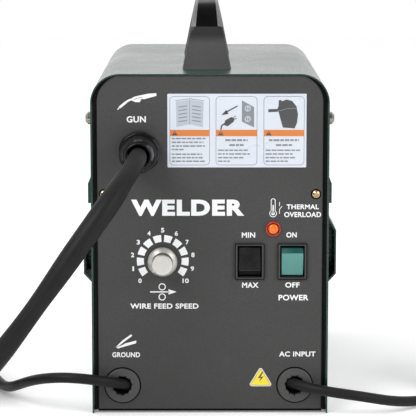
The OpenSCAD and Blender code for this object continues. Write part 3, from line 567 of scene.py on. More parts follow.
# each lead runs along its route, lies in a coil and ends along its tail; all in millimetres
cordSetup = {
    "gun": {
        "diameter": 18,
        "swell": [(0, 0.84), (30, 0.86), (85, 1.06), (130, 1.04), (185, 0.88), (240, 1.0)],
        "route": [
            (-60, -210, 228), (-60, -218, 228), (-61.5, -235, 226), (-66, -253, 220), (-73, -268, 210.5),
            (-82, -279.5, 198), (-92.5, -287, 183.5), (-104, -291.5, 168), (-118, -294.5, 148),
            (-133, -296, 127), (-148, -296.5, 106), (-165, -295, 83), (-183, -292, 61), (-204, -286.5, 41),
            (-230, -278, 25), (-260, -266, 14), (-292, -251, 9.5), (-321, -235, 9), (-348, -217, 9),
        ],
        "coil": {"centre": (-300, -135), "radius": 95, "start": -120, "turn": -750, "low": 9},
        "tail": [
            (-382, -182, 46), (-395, -156, 46), (-407, -130, 43), (-416, -102, 36), (-422, -74, 26),
            (-425, -46, 18), (-425, -20, 15.5),
        ],
        "replaces": ["gun_cable", "gun_coil"],
    },
    "ground": {
        "diameter": 9,
        "route": [
            (-71, -169, 24), (-78.5, -177, 27), (-87.5, -183.5, 30), (-98.5, -188, 32.5), (-111, -190, 34.5),
            (-124, -188.5, 35), (-136.5, -183.5, 33.5), (-147.5, -175, 30.5), (-157, -164, 26),
            (-165, -150.5, 20.5), (-172, -135.5, 15), (-178, -119, 10), (-184, -101, 6.5), (-190, -81, 4.5),
            (-197, -58, 4.5), (-204, -33, 4.5), (-210, -5, 4.5), (-214.5, 15, 4.5), (-216, 30, 4.5),
        ],
        "coil": {"centre": (-266, 30), "radius": 50, "start": 0, "turn": 1140, "low": 4.5},
        "tail": [
            (-241, 73, 34), (-250, 79, 32), (-260, 84, 27), (-270, 88, 20), (-280, 89, 14), (-292, 89, 11),
        ],
        "replaces": ["ground_cable", "ground_coil"],
    },
    "power": {
        "diameter": 9,
        "route": [
            (67, -168, 27), (75, -176, 26), (84.5, -182.5, 24.5), (96, -187, 23), (108.5, -189, 21.5),
            (121, -188.5, 19.5), (133.5, -185.5, 17), (146, -180, 13.5), (158.5, -172, 10), (171, -162, 7),
            (185, -150, 5), (200, -138, 4.5), (216.5, -127, 4.5), (233.5, -118, 4.5), (252, -113, 4.5),
        ],
        "coil": {"centre": (252, -63), "radius": 50, "start": -90, "turn": 1530, "low": 4.5},
        "tail": [
            (302, -63, 42), (302, -45, 40), (301, -28, 34), (298, -11, 26), (294, 6, 19), (289, 22, 15),
            (284, 37, 14),
        ],
        "replaces": ["power_cord", "power_coil"],
    },
}


def smoothLine(points, steps):
    # uniform cubic B-spline that starts and ends on the first and last points
    spots = [Vector(p) for p in points]
    spots = [2 * spots[0] - spots[1]] + spots + [2 * spots[-1] - spots[-2]]
    line = []
    for i in range(len(spots) - 3):
        a, b, c, d = spots[i:i + 4]
        for k in range(steps):
            t = k / steps
            line.append(((1 - t) ** 3 * a + (3 * t ** 3 - 6 * t * t + 4) * b
                         + (-3 * t ** 3 + 3 * t * t + 3 * t + 1) * c + t ** 3 * d) / 6)
    line.append(Vector(points[-1]))
    return line


def coilLine(coil, diameter):
    # a helix whose turns lie one diameter apart
    cx, cy = coil["centre"]
    count = int(abs(coil["turn"]) / 12)
    line = []
    for i in range(1, count):
        share = i / count
        angle = math.radians(coil["start"] + coil["turn"] * share)
        height = coil["low"] + diameter * abs(coil["turn"]) * share / 360
        across, along = coil["radius"] * math.cos(angle), coil["radius"] * math.sin(angle)
        line.append(Vector((cx + across, cy + along, height)))
    return line


def lineLength(line):
    return sum((b - a).length for a, b in zip(line, line[1:]))


def relaxed(line, rounds):
    # evens out the joins between the free stretches and the coil
    for _ in range(rounds):
        line = [line[0]] + [(a + 2 * b + c) / 4 for a, b, c in zip(line, line[1:], line[2:])] + [line[-1]]
    return line


def swellAt(marks, distance):
    # the lead is a little flattened and twisted where it leaves the machine
    for (a, low), (b, high) in zip(marks, marks[1:]):
        if a <= distance < b:
            t = (distance - a) / (b - a)
            t = t * t * (3 - 2 * t)
            return low + (high - low) * t
    return 1.0


def addCord(name, setup):
    diameter = setup["diameter"]
    line = smoothLine(setup["route"], 3) + coilLine(setup["coil"], diameter) + smoothLine(setup["tail"], 3)
    line = relaxed(line, 2)
    curve = bpy.data.curves.new(name, "CURVE")
    curve.dimensions = "3D"
    curve.bevel_depth = diameter / 2 * mm
    curve.bevel_resolution = 6
    curve.use_fill_caps = True
    spline = curve.splines.new("POLY")
    spline.points.add(len(line) - 1)
    travelled = 0.0
    for i, (point, spot) in enumerate(zip(spline.points, line)):
        point.co = (*(spot * mm), 1)
        if i:
            travelled += (spot - line[i - 1]).length
        point.radius = swellAt(setup.get("swell", ()), travelled)
    curve.materials.append(finishes["cableRubber"])
    cord = addObject(name, curve)
    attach(cord, "cabinet")
    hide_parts(*setup["replaces"])
    return cord, lineLength(line) * mm


gunCord, gunLength = addCord("gunCableRun", cordSetup["gun"])
groundCord, groundLength = addCord("groundCableRun", cordSetup["ground"])
powerCord, powerLength = addCord("powerCordRun", cordSetup["power"])
print("cords:", round(gunLength, 3), round(groundLength, 3), round(powerLength, 3))


def placePiece(mesh, name, body, materialNames, stands=()):
    for materialName in materialNames:
        mesh.materials.append(finishes[materialName])
    piece = addObject(name, mesh)
    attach(piece, body)
    if stands:
        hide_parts(*stands)
    return piece


def finishPiece(bm, name, body, materialNames, stands=(), angle=35):
    # a turned or moulded piece, shaded smooth except at edges sharper than the angle
    mesh = bpy.data.meshes.new(name)
    bmesh.ops.recalc_face_normals(bm, faces=bm.faces)
    bm.to_mesh(mesh)
    bm.free()
    mesh.shade_smooth()
    mesh.set_sharp_from_angle(angle=math.radians(angle))
    return placePiece(mesh, name, body, materialNames, stands)


def finishFlat(bm, name, materialNames):
    # flat shapes on the panel, all facing the front
    for face in bm.faces:
        face.normal_update()
        if face.normal.y > 0:
            face.normal_flip()
    mesh = bpy.data.meshes.new(name)
    bm.to_mesh(mesh)
    bm.free()
    return placePiece(mesh, name, "cabinet", materialNames)


def rounded(profile, radius, steps=4):
    # fillets every inner corner of an open outline of (r, out) points
    line = [Vector(profile[0])]
    for a, b, c in zip(profile, profile[1:], profile[2:]):
        a, b, c = Vector(a), Vector(b), Vector(c)
        cut = min(radius, (a - b).length * 0.45, (c - b).length * 0.45)
        start, end = b + (a - b).normalized() * cut, b + (c - b).normalized() * cut
        for i in range(steps + 1):
            t = i / steps
            line.append((1 - t) ** 2 * start + 2 * t * (1 - t) * b + t * t * end)
    line.append(Vector(profile[-1]))
    return line


def lathe(bm, centre, profile, segments=96, swell=None, index=0):
    # turns an outline of (radius, distance in front of the panel) about an axis along -Y
    rings = []
    for r, out in profile:
        ring = []
        for i in range(segments):
            a = 2 * math.pi * i / segments
            reach = r * (swell(a, r, out) if swell else 1)
            x, z = centre[0] + reach * math.sin(a), centre[1] + reach * math.cos(a)
            ring.append(bm.verts.new(Vector((x, panelFace - out, z)) * mm))
        rings.append(ring)
    for lower, upper in zip(rings, rings[1:]):
        for i in range(segments):
            j = (i + 1) % segments
            bm.faces.new((lower[i], lower[j], upper[j], upper[i])).material_index = index
    return rings


def bridge(bm, rows):
    # faces between open rows of points
    for a, b in zip(rows, rows[1:]):
        for k in range(len(a) - 1):
            bm.faces.new((a[k], a[k + 1], b[k + 1], b[k]))


knobSetup = {
    "skirt": 12.75,         # radius of the skirt
    "cap": 8.7,             # radius of the fluted part
    "out": 18.0,            # how far the cap stands in front of the panel
    "bore": 3.1,
    "flutes": 36,
    "fluteDepth": 0.022,    # share of the radius
    "fluteFrom": 6.8,
    "dotAngle": 226,
    "dotReach": 11.0,
    "dotRadius": 0.75,
}


def addKnob():
    s = knobSetup
    centre = middleOf("speed_knob")
    skirt, cap, out = s["skirt"], s["cap"], s["out"]
    profile = rounded([
        (s["bore"], 0.7), (skirt - 0.5, 0.7), (skirt, 1.4), (skirt, 3.2), (skirt - 1.2, 4.6),
        (cap + 1.0, 6.2), (cap, 7.0), (cap, out - 0.2), (cap - 1.1, out), (1.2, out),
    ], 0.8)

    def flutes(a, r, height):
        if s["fluteFrom"] < height < out - 0.5 and r > cap - 0.6:
            return 1 - s["fluteDepth"] * (0.5 + 0.5 * math.cos(s["flutes"] * a))
        return 1

    bm = bmesh.new()
    rings = lathe(bm, centre, profile, 288, flutes)
    bm.faces.new(rings[-1])
    bm.faces.new(list(reversed(rings[0])))
    # the fluted side takes the darker metal, as painted shade
    for face in bm.faces:
        height = panelFace - face.calc_center_median().y / mm
        if s["fluteFrom"] + 0.1 < height < out - 0.45:
            face.material_index = 1
    finishPiece(bm, "speedKnobBody", "speed_knob", ["knobMetal", "knurlShadeMetal"], ["speed_knob"])
    a = math.radians(s["dotAngle"])
    place = (centre[0] + s["dotReach"] * math.sin(a), centre[1] + s["dotReach"] * math.cos(a))
    dot = bmesh.new()
    rings = lathe(dot, place, rounded([(s["dotRadius"], 3.0), (s["dotRadius"], 6.0), (0.05, 6.2)], 0.2), 24)
    dot.faces.new(rings[-1])
    finishPiece(dot, "knobPointer", "speed_knob", ["inkWhite"])


addKnob()

outletSetup = {
    "nut": 17.9,            # radii, from the nut inwards
    "nutFace": 16.6,
    "ring": 14.9,
    "neck": 14.2,
    "mouth": 11.2,
    "bore": 9.05,
    "flats": 6,
    "flatDepth": 0.045,     # share of the radius
}


def addGunOutlet():
    s = outletSetup
    flat = 2 * math.pi / s["flats"]

    def sixSided(a, r, out):
        # rounded hexagon: the flats lie a little inside the round
        part = (a % flat) - flat / 2
        return 1 - s["flatDepth"] * (1 - abs(part) / (flat / 2)) ** 1.5 if r > s["nutFace"] - 0.1 else 1

    bm = bmesh.new()
    profile = rounded([
        (12.1, 0.1), (s["nut"], 0.1), (s["nut"], 8.6), (s["nutFace"], 11.4), (13.2, 11.5), (12.3, 9.5),
    ], 0.9)
    lathe(bm, middleOf("gun_nut"), profile, 192, sixSided)
    finishPiece(bm, "gunOutletNut", "cabinet", ["mouldedBlack"], ["gun_nut"])
    ring, neck, bore = s["ring"], s["neck"], s["bore"]
    bm = bmesh.new()
    profile = rounded([
        (12.0, 0.2), (12.0, 10.5), (ring, 11.2), (ring, 15.5), (13.4, 16.6), (neck, 18.0), (neck, 23.5),
        (12.9, 25.0), (13.3, 26.5), (12.4, 31.0), (s["mouth"], 36.2), (bore + 0.5, 36.4), (bore, 34.0),
        (bore, 20.0),
    ], 0.8)
    lathe(bm, middleOf("gun_gland"), profile, 128)
    finishPiece(bm, "gunOutletGland", "cabinet", ["mouldedBlack"], ["gun_gland"])


addGunOutlet()

bushSetup = {
    "outer": 14.9,
    "proud": 2.1,           # how far the flange stands in front of the panel
    "mouth": 8.1,
    "throat": 3.7,          # how deep the dark disc of painted shade in the throat lies
    "points": 11,
    "ragged": 0.06,
    "slit": 0.16,
    "shadeRadius": 15.95,          # radius of the dark line of painted shadow round the flange
}


def addBush(name, node, move, seed):
    # move shifts the bush a little across and up from the bored one it stands for
    s = bushSetup
    x, z = middleOf(node)
    centre = (x + move[0], z + move[1])
    outer, proud, mouth = s["outer"], s["proud"], s["mouth"]
    dice = random.Random(seed)
    teeth = [dice.uniform(-1, 1) for _ in range(s["points"])]

    def ragged(a, r, out):
        if r > mouth + 1.2:
            return 1
        spot = a / (2 * math.pi) * s["points"]
        i = int(spot) % s["points"]
        t = spot - int(spot)
        slit = max(0.0, 1 - abs(t - 0.5) * 7) * s["slit"]
        tooth = teeth[i] * (1 - t) + teeth[(i + 1) % s["points"]] * t
        return 1 + s["ragged"] * tooth + slit * (1 if out > 0 else 0.4)

    bm = bmesh.new()
    profile = rounded([
        (outer, -0.2), (outer, proud - 0.5), (outer - 0.8, proud), (mouth + 1.3, proud - 0.1),
        (mouth, proud - 0.5), (mouth, -5.5),
    ], 0.35)
    lathe(bm, centre, profile, 220, ragged)
    # a near-black disc down the throat, as painted shade inside the hole
    throat = lathe(bm, centre, [(mouth + 0.9, 0.1 - s["throat"]), (0.4, -0.1 - s["throat"])], 48, None, 1)
    bm.faces.new(throat[-1]).material_index = 1
    finishPiece(bm, name, "cabinet", ["bushRubber", "paintedShadeBlack"], [node])
    # a dark ring round the flange, as painted shadow in the gap on the panel
    bm = bmesh.new()
    lathe(bm, centre, [(outer - 0.3, 0.05), (s["shadeRadius"] - 0.1, 0.14), (s["shadeRadius"], 0.02)], 96)
    finishPiece(bm, name + "Shade", "cabinet", ["paintedShadeBlack"])


addBush("groundBush", "ground_grommet", (0.1, -1.4), 4)
addBush("powerBush", "power_grommet", (0.7, -1.1), 9)

handleSetup = {
    "rise": 56.6,
    "foot": 42.2,           # width at the foot
    "top": 19.5,            # width across the bar
    "bar": 20,              # depth of the bar
    "shift": -2.6,          # how far it stands to the left of the middle
    "sunkFrom": 0.64,     # share of the rise where the sunk top starts, whose top face takes painted shade
    "sunkStep": 0.7,
}


def addHandle():
    s = handleSetup
    low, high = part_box("handle")
    f, n, b, h = low.y / mm, (high.y - low.y) / mm, low.z / mm, s["rise"]
    outer = [
        (f, b), (f + 0.4, b + 1.2), (f + 4.5, b + 18), (f + 7.5, b + 31), (f + 9.4, b + 36.5),
        (f + 9.8, b + 37.4), (f + 13.5, b + 44), (f + 21, b + h - 5), (f + 27, b + h - 1.4), (f + 34, b + h),
        (f + n / 2 - 20, b + h),
    ]
    under = b + h - s["bar"]
    inner = [
        (f + 26, b), (f + 26.2, b + 1.2), (f + 28, b + 14), (f + 29, b + 21), (f + 30.4, b + 25),
        (f + 31, b + 26), (f + 34, b + 32), (f + 38, under - 2), (f + 42, under - 0.4), (f + 46, under),
        (f + n / 2 - 20, under),
    ]
    mirrorAt = 2 * f + n
    outer += [(mirrorAt - y, z) for y, z in reversed(outer)]
    inner += [(mirrorAt - y, z) for y, z in reversed(inner)]

    def halfWidth(z):
        wide = s["foot"] / 2 + (s["top"] / 2 + 1.2 - s["foot"] / 2) * min(1.0, (z - b) / (h - 6))
        return wide - max(0.0, (z - b - h + 6) / 6) * 1.4

    bm = bmesh.new()
    rings = []
    for (oy, oz), (iy, iz) in zip(outer, inner):
        o, i = Vector((0, oy, oz)), Vector((0, iy, iz))
        inward = (i - o).normalized()
        share = (oz - b) / h
        sunk = share >= s["sunkFrom"]
        wo, wi = halfWidth(oz), halfWidth(iz)
        cut = 1.0 + (3.2 - 2.2 * (share - s["sunkFrom"]) / (1 - s["sunkFrom"]) if sunk else 0.0)
        step = s["sunkStep"] if sunk else 0.0
        bevel = 1.5 if sunk else 0.6
        right = [
            (wi - 1, 0), (wi, 1), (wo, bevel + 0.4), (wo - 0.5, bevel * 0.5), (wo - cut, 0.0),
            (wo - cut, step),
        ]
        shape = [(-x, depth) for x, depth in reversed(right)] + right
        ring = []
        for k, (x, depth) in enumerate(shape):
            spot = o + inward * depth if k < 4 or k > 7 else i - inward * depth
            ring.append(bm.verts.new(Vector((x + s["shift"], spot.y, max(spot.z, b))) * mm))
        rings.append((ring, sunk))
    for (a, lower), (c, upper) in zip(rings, rings[1:]):
        for k in range(len(a)):
            j = (k + 1) % len(a)
            face = bm.faces.new((a[k], a[j], c[j], c[k]))
            if lower and upper:
                # the face across the top takes painted shade, the slopes beside it a painted highlight
                face.material_index = 1 if k == len(a) - 1 else 2 if k in (1, 2, 8, 9) else 0
    bm.faces.new(rings[0][0])
    bm.faces.new(list(reversed(rings[-1][0])))
    names = ["handlePlastic", "paintedShadeSatin", "handleEdgeHighlight"]
    finishPiece(bm, "carryHandle", "cabinet", names, ["handle"], angle=22)


addHandle()

lampSetup = {"ring": 6.5, "lens": 4.3, "lensHeight": 1.7, "gap": 0.05, "shadeWithin": 5.5}


def addLamp():
    s = lampSetup
    centre = middleOf("lamp_lens")
    outer, bore = s["ring"], s["lens"] + s["gap"]
    bm = bmesh.new()
    profile = [(outer, 0.05), (outer, 1.4), (outer - 0.6, 2.0), (4.9, 1.9), (bore, 1.2), (bore, -2.0)]
    lathe(bm, centre, rounded(profile, 0.4), 64)
    # faces near the lens, down into the groove, take the darker red as painted shade
    for face in bm.faces:
        spot = face.calc_center_median() / mm
        if math.hypot(spot.x - centre[0], spot.z - centre[1]) < s["shadeWithin"]:
            face.material_index = 1
    finishPiece(bm, "lampRing", "cabinet", ["lampRed", "lampRedShade"], ["lamp_bezel"])
    bm = bmesh.new()
    angles = [math.radians(a) for a in range(0, 90, 10)]
    dome = [(s["lens"] * math.cos(a), 1.2 + s["lensHeight"] * math.sin(a)) for a in angles]
    rings = lathe(bm, centre, [(s["lens"], -1.5)] + dome + [(0.1, 1.2 + s["lensHeight"])], 48)
    bm.faces.new(rings[-1])
    finishPiece(bm, "lampDome", "cabinet", ["lampAmber"], ["lamp_lens"])


screwShadeSetup = {
    "across": 90.4,
    "height": 191.3,
    "profile": [(2.6, 0.3), (3.5, 0.22), (4.3, 0.14), (4.5, 0.02)],
}


def addScrewSeat(name, side):
    # shallow dark ring of painted shade round the panel screw
    s = screwShadeSetup
    bm = bmesh.new()
    lathe(bm, (side * s["across"], s["height"]), rounded(s["profile"], 0.2), 48)
    finishPiece(bm, name, "cabinet", ["paintedShadeBlack"])


addLamp()
addScrewSeat("leftScrewShade", -1)
addScrewSeat("rightScrewShade", 1)

rockerSetup = {
    "width": 18.5,
    "reach": 11.9,          # half the height
    "ridge": 7.4,           # where the long face ends and the short sloping end starts
    "proud": 8.5,           # how far the ridge stands out from the pivot
    "soft": 0.7,
    "pivotIn": 4.0,         # how far the pivot lies behind the panel's face
    "back": 1.6,
}


def addRocker(name, node, finish, side):
    # a wedge with one long face and a short sloping end; side is 1 with that end at the top, -1 below
    s = rockerSetup
    x, z = middleOf(node)
    pivot = panelFace + s["pivotIn"]
    back = pivot + s["back"]
    # every corner stays within the round the case leaves for it, so it can swing
    outline = rounded([
        (-11.8, back), (-12.1, pivot - 4.6), (s["ridge"], pivot - s["proud"]), (s["reach"], pivot - 5.2),
        (11.8, back),
    ], s["soft"], 3)
    half = s["width"] / 2
    bm = bmesh.new()
    columns = []
    for offset, inset in ((-half, 0.35), (-half + 0.35, 0.0), (half - 0.35, 0.0), (half, 0.35)):
        column = []
        for u, y in outline:
            y = y + inset if y < back - 0.1 else y
            column.append(bm.verts.new(Vector((x + offset, y, z + side * u)) * mm))
        columns.append(column)
    bridge(bm, columns)
    bm.faces.new(columns[0])
    bm.faces.new(list(reversed(columns[-1])))
    bm.faces.new([columns[0][0], columns[-1][0], columns[-1][-1], columns[0][-1]])
    # the short sloping end takes the darker copy of the finish, as painted shade
    for face in bm.faces:
        if (face.calc_center_median().z / mm - z) * side > s["ridge"] + 0.2:
            face.material_index = 1
    finishPiece(bm, name, node, [finish, finish + "End"], [node], angle=40)


addRocker("currentRockerCap", "current_rocker", "rockerBlack", -1)
addRocker("powerRockerCap", "power_rocker", "rockerGreen", 1)
softParts = {
    "current_switch": 0.35, "power_switch": 0.35, "power_plug": 0.8, "torch_trigger": 0.4, "clamp_base": 0.3,
    "clamp_jaw": 0.3, "tension_knob": 0.3, "spool_nut": 0.3,
}
for name, width in softParts.items():
    softenEdges(name, width)

edgeShadowSetup = {
    "outer": 1.7,           # distances inwards from the cover's outside
    "inner": 5.3,
    "lip": 2.9,             # the strip stays proud this far in
    "halfWidth": 101.5,
    "corner": 25,
    "bottom": 3.4,
    "fade": 78,             # degrees round the corner where it dies away
    "steps": 16,
    "section": [(0.0, 1.56), (0.12, 1.66), (0.28, 1.62), (0.45, 1.1), (0.7, 0.45), (1.0, 0.06)],
}


def addEdgeSeal(name, side):
    # painted shadow: a dark strip inside the cover's lip, in the gap beside the panel; follows one side up
    # and dies away round the top corner
    s = edgeShadowSetup
    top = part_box("cabinet_cover")[1].z / mm
    cx, cz = s["halfWidth"] - s["corner"], top - s["corner"]
    path = [(s["halfWidth"], z, (1, 0), 1.0) for z in (s["bottom"], 60, 120, 180, 230, cz)]
    for i in range(1, s["steps"] + 1):
        share = i / s["steps"]
        a = math.radians(s["fade"] * share)
        nx, nz = math.cos(a), math.sin(a)
        path.append((cx + s["corner"] * nx, cz + s["corner"] * nz, (nx, nz), 1 - share ** 2.2))
    bm = bmesh.new()
    rings = []
    for x, z, (nx, nz), share in path:
        width = (s["inner"] - s["outer"]) * max(share, 0.12)
        ring = []
        for t, out in s["section"]:
            d = s["outer"] + width * t
            if share < 0.99 and d < s["lip"]:
                out = max(out, s["section"][0][1])
            ring.append(bm.verts.new(Vector((side * (x - nx * d), panelFace - out, z - nz * d)) * mm))
        rings.append(ring)
    bridge(bm, rings)
    finishPiece(bm, name, "cabinet", ["paintedShadeSatin"])


switchShadeSetup = {"frames": [(23.9, 29.7), (19.6, 26.2)], "wide": 0.7, "out": 2.26}


def addSwitchLine(name, node):
    # painted shade: dark lines in the gaps inside the bezel and round the rocker
    s = switchShadeSetup
    x, z = middleOf(node)
    bm = bmesh.new()
    for width, height in s["frames"]:
        rings = []
        for grow in (0, s["wide"]):
            w, h = width / 2 + grow, height / 2 + grow
            corners = [(x + w, z + h), (x - w, z + h), (x - w, z - h), (x + w, z - h)]
            rings.append([bm.verts.new(Vector((u, panelFace - s["out"], v)) * mm) for u, v in corners])
        for k in range(4):
            j = (k + 1) % 4
            bm.faces.new((rings[0][k], rings[0][j], rings[1][j], rings[1][k]))
    finishFlat(bm, name, ["paintedShadeBlack"])


bottomEdgeSetup = {
    "half": 96.5,
    "end": 0.7,             # width of each raised end
    "section": [(3.9, -0.05), (2.6, -0.04), (1.9, 0.5), (1.7, 1.6)],    # height, how far behind the face
}


def addBottomEdge():
    # folded lower edge of the panel, near-black as painted shadow that carries the gap shadow of the sides
    # across the bottom
    s = bottomEdgeSetup
    half, inside = s["half"], s["half"] - s["end"]
    bm = bmesh.new()
    columns = []
    for x, raised in ((-half, 0.6), (-inside, 0.0), (inside, 0.0), (half, 0.6)):
        column = [bm.verts.new(Vector((x, panelFace + back, z + raised)) * mm) for z, back in s["section"]]
        columns.append(column)
    bridge(bm, columns)
    finishPiece(bm, "panelBottomEdge", "cabinet", ["paintedShadeSatin"])


addBottomEdge()
addEdgeSeal("leftEdgeShadow", -1)
addEdgeSeal("rightEdgeShadow", 1)
addSwitchLine("currentSwitchShade", "current_switch")
addSwitchLine("powerSwitchShade", "power_switch")
print("turned and moulded pieces made")

printLayer = 0.06     # how far each printed layer stands in front of the one below, in millimetres


class Print:
    # flat shapes on the front panel, gathered into one mesh with several inks
    def __init__(self, name, inks):
        self.name = name
        self.inks = inks
        self.bm = bmesh.new()

    def corner(self, x, z, layer):
        return self.bm.verts.new(Vector((x, panelFace - printLayer * layer, z)) * mm)

    def face(self, corners, ink):
        self.bm.faces.new(corners).material_index = self.inks.index(ink)

    def fill(self, points, ink, layer=1):
        self.face([self.corner(x, z, layer) for x, z in points], ink)

    def stroke(self, points, width, ink, layer=1, closed=False):
        spots = [Vector(p) for p in points]
        count = len(spots)
        sides = []
        for i, spot in enumerate(spots):
            before = spots[i - 1] if closed or i else spot
            after = spots[(i + 1) % count] if closed or i < count - 1 else spot
            along = (after - before).normalized()
            normal = Vector((-along.y, along.x)) * width / 2
            sides.append([self.corner(p.x, p.y, layer) for p in (spot + normal, spot - normal)])
        for i in range(count if closed else count - 1):
            a, b = sides[i], sides[(i + 1) % count]
            self.face((a[0], a[1], b[1], b[0]), ink)

    def text(self, words, x, z, width, cap, weight=0.02, spacing=1.0):
        # generic words, each fitted to its width and height
        curve = bpy.data.curves.new("letters", "FONT")
        curve.body = words
        curve.offset = weight
        curve.space_character = spacing
        curve.resolution_u = 5
        holder = addObject("letters", curve)
        mesh = bpy.data.meshes.new_from_object(holder.evaluated_get(bpy.context.evaluated_depsgraph_get()))
        us = [v.co.x for v in mesh.vertices]
        vs = [v.co.y for v in mesh.vertices]
        spots = []
        for u, v in zip(us, vs):
            u = (u - min(us)) / (max(us) - min(us)) - 0.5
            v = (v - min(vs)) / (max(vs) - min(vs)) - 0.5
            spots.append(self.corner(x + u * width, z + v * cap, 1))
        for polygon in mesh.polygons:
            self.face([spots[i] for i in polygon.vertices], "inkWhite")
        bpy.data.objects.remove(holder)
        bpy.data.curves.remove(curve)
        bpy.data.meshes.remove(mesh)

    def done(self):
        return finishFlat(self.bm, self.name, self.inks)


def roundBox(x, z, width, height, radius, steps=6):
    points = []
    for sx, sz, start in ((1, 1, 0), (-1, 1, 90), (-1, -1, 180), (1, -1, 270)):
        for i in range(steps + 1):
            a = math.radians(start + 90 * i / steps)
            points.append((x + sx * (width / 2 - radius) + radius * math.cos(a),
                           z + sz * (height / 2 - radius) + radius * math.sin(a)))
    return points


def arc(x, z, radius, angles):
    # angles in degrees, from straight up towards the right
    turns = [math.radians(a) for a in angles]
    return [(x + radius * math.sin(a), z + radius * math.cos(a)) for a in turns]


def circle(x, z, radius, steps=32):
    return arc(x, z, radius, [90 - 360 * i / steps for i in range(steps)])


wordSetup = {
    # across, height of the middle, width, height of the capitals
    "GUN": (-62.5, 255.4, 16.3, 5.4),
    "THERMAL": (79.1, 180.4, 27.6, 4.2),
    "OVERLOAD": (79.1, 173.7, 31.6, 4.5),
    "MIN": (32.9, 156.0, 11.4, 4.6),
    "MAX": (34.6, 112.5, 14.1, 4.6),
    "ON": (69.7, 156.1, 8.9, 4.6),
    "OFF": (70.7, 112.6, 12.3, 4.6),
    "POWER": (71.7, 101.6, 25.7, 4.9),
    "WIRE FEED SPEED": (-39.1, 94.2, 58.6, 4.6),
    "GROUND": (-72.2, 51.5, 23.9, 4.4),
    "AC INPUT": (75.3, 52.1, 31.5, 4.5),
}
dialSetup = {
    "move": (0.2, 0.9),     # from the knob's middle
    "first": -132,
    "step": 26.4,           # degrees between numbers
    "gap": 3.6,
    "numbers": 26.3,        # radii
    "blockOuter": 22.2,
    "blockInner": 16.2,
}


def addDial(ink):
    # eleven numbers and ten blocks
    s = dialSetup
    x, z = middleOf("speed_knob")
    x, z = x + s["move"][0], z + s["move"][1]
    numberWidth = {1: 1.4, 10: 5.4}
    spots = arc(x, z, s["numbers"], [s["first"] + s["step"] * i for i in range(11)])
    for i, (u, v) in enumerate(spots):
        ink.text(str(i), u, v, numberWidth.get(i, 2.8), 4.0, weight=0.03)
    for i in range(10):
        low = s["first"] + s["step"] * i + s["gap"]
        span = s["step"] - 2 * s["gap"]
        angles = [low + span * k / 6 for k in range(7)]
        outline = arc(x, z, s["blockOuter"], angles) + arc(x, z, s["blockInner"], reversed(angles))
        ink.fill(outline, "inkWhite")


def addLegends():
    ink = Print("panelLegends", ["inkWhite", "panelPaint"])
    for word, (x, z, width, cap) in wordSetup.items():
        ink.text(word, x, z, width, cap, weight=0.028, spacing=1.06)
    ink.text("WELDER", -19.0, 179.6, 96.5, 14.0, weight=0.052, spacing=1.14)
    addDial(ink)
    # torch: nozzle, neck and handle with its trigger
    ink.fill([(-78.6, 263.8), (-77.9, 263.4), (-76.6, 265.0), (-77.2, 265.6)], "inkWhite")
    ink.fill([(-77.4, 266.0), (-76.0, 264.7), (-70.3, 269.3), (-71.4, 271.0)], "inkWhite")
    ink.stroke([(-70.8, 270.2), (-68.6, 271.6), (-66.2, 272.4)], 1.6, "inkWhite")
    grip = [
        (-66.6, 273.0), (-65.9, 271.2), (-63.0, 270.0), (-59.6, 270.0), (-58.3, 271.8), (-52.5, 273.4),
        (-45.3, 275.4), (-45.4, 277.6), (-52.0, 277.2), (-60.0, 275.6), (-64.6, 274.4),
    ]
    ink.fill(grip, "inkWhite")
    ink.stroke([(-64.6, 272.2), (-61.0, 273.4), (-57.5, 274.2)], 0.45, "panelPaint", 2)
    ink.fill([(-58.9, 272.2), (-57.6, 271.4), (-56.0, 272.3), (-57.0, 273.0)], "panelPaint", 2)
    # wire between two rollers, with an arrow
    for dz in (4.4, -4.4):
        ink.stroke(circle(-41.0, 106.6 + dz, 2.7), 0.8, "inkWhite", closed=True)
    ink.stroke([(-51.3, 106.6), (-34.8, 106.6)], 1.0, "inkWhite")
    ink.fill([(-35.6, 104.3), (-28.6, 106.6), (-35.6, 108.9)], "inkWhite")
    # open clamp
    lowerJaw = [(-81.2, 58.3), (-79.4, 57.0), (-63.6, 61.6), (-63.4, 64.0), (-72.6, 61.6), (-76.4, 60.4)]
    upperJaw = [(-81.2, 58.3), (-80.4, 57.6), (-74.8, 62.2), (-66.8, 68.2), (-67.9, 69.4), (-75.2, 64.2)]
    ink.fill(lowerJaw, "inkWhite")
    ink.fill(upperJaw, "inkWhite")
    ink.stroke([(-78.6, 58.9), (-73.4, 61.4)], 0.6, "panelPaint", 2)
    # thermometer with a contact beside it
    x, z = 53.9, 174.6
    tube = roundBox(x, z + 7, 3.4, 11.4, 1.6)[:14]
    bulb = arc(x, z, 2.9, range(-40, -321, -20))
    outline = tube + [(x - 1.7, z + 2)] + bulb + [(x + 1.7, z + 2)]
    ink.stroke(outline, 0.6, "inkWhite", closed=True)
    ink.fill(circle(x, z, 1.5), "inkWhite")
    ink.stroke([(x, z), (x, z + 7.4)], 1.1, "inkWhite")
    ink.stroke([(59.3, 174.4), (59.3, 178.2), (61.6, 181.0)], 0.55, "inkWhite")
    ink.stroke([(59.3, 181.0), (59.3, 184.4)], 0.55, "inkWhite")
    ink.done()


decalSetup = {
    "sheet": (22.85, 245.7, 117.9, 62.8),
    "cards": [(-17.2, 33.6), (22.5, 34.8), (62.8, 34.2)],       # middle and width of each card
    "cardHeight": 58.4,
    "band": (241.0, 246.4),     # lower and upper edge of the orange band
    "margin": 1.6,
    "gap": 0.75,
    # height and share of the card's width of each line of plain bars, which stand where wording would
    "lines": [
        [(239.0, 0.94), (235.8, 0.88), (232.6, 0.92), (229.6, 0.34), (225.6, 0.84), (222.6, 0.86),
         (219.6, 0.92)],
        [(237.6, 0.60), (233.4, 0.38), (229.0, 0.80), (225.8, 0.86), (222.6, 0.72), (219.6, 0.32)],
        [(237.6, 0.82), (233.4, 0.44), (229.0, 0.94), (225.8, 0.74), (222.6, 0.82), (219.6, 0.64)],
    ],
}


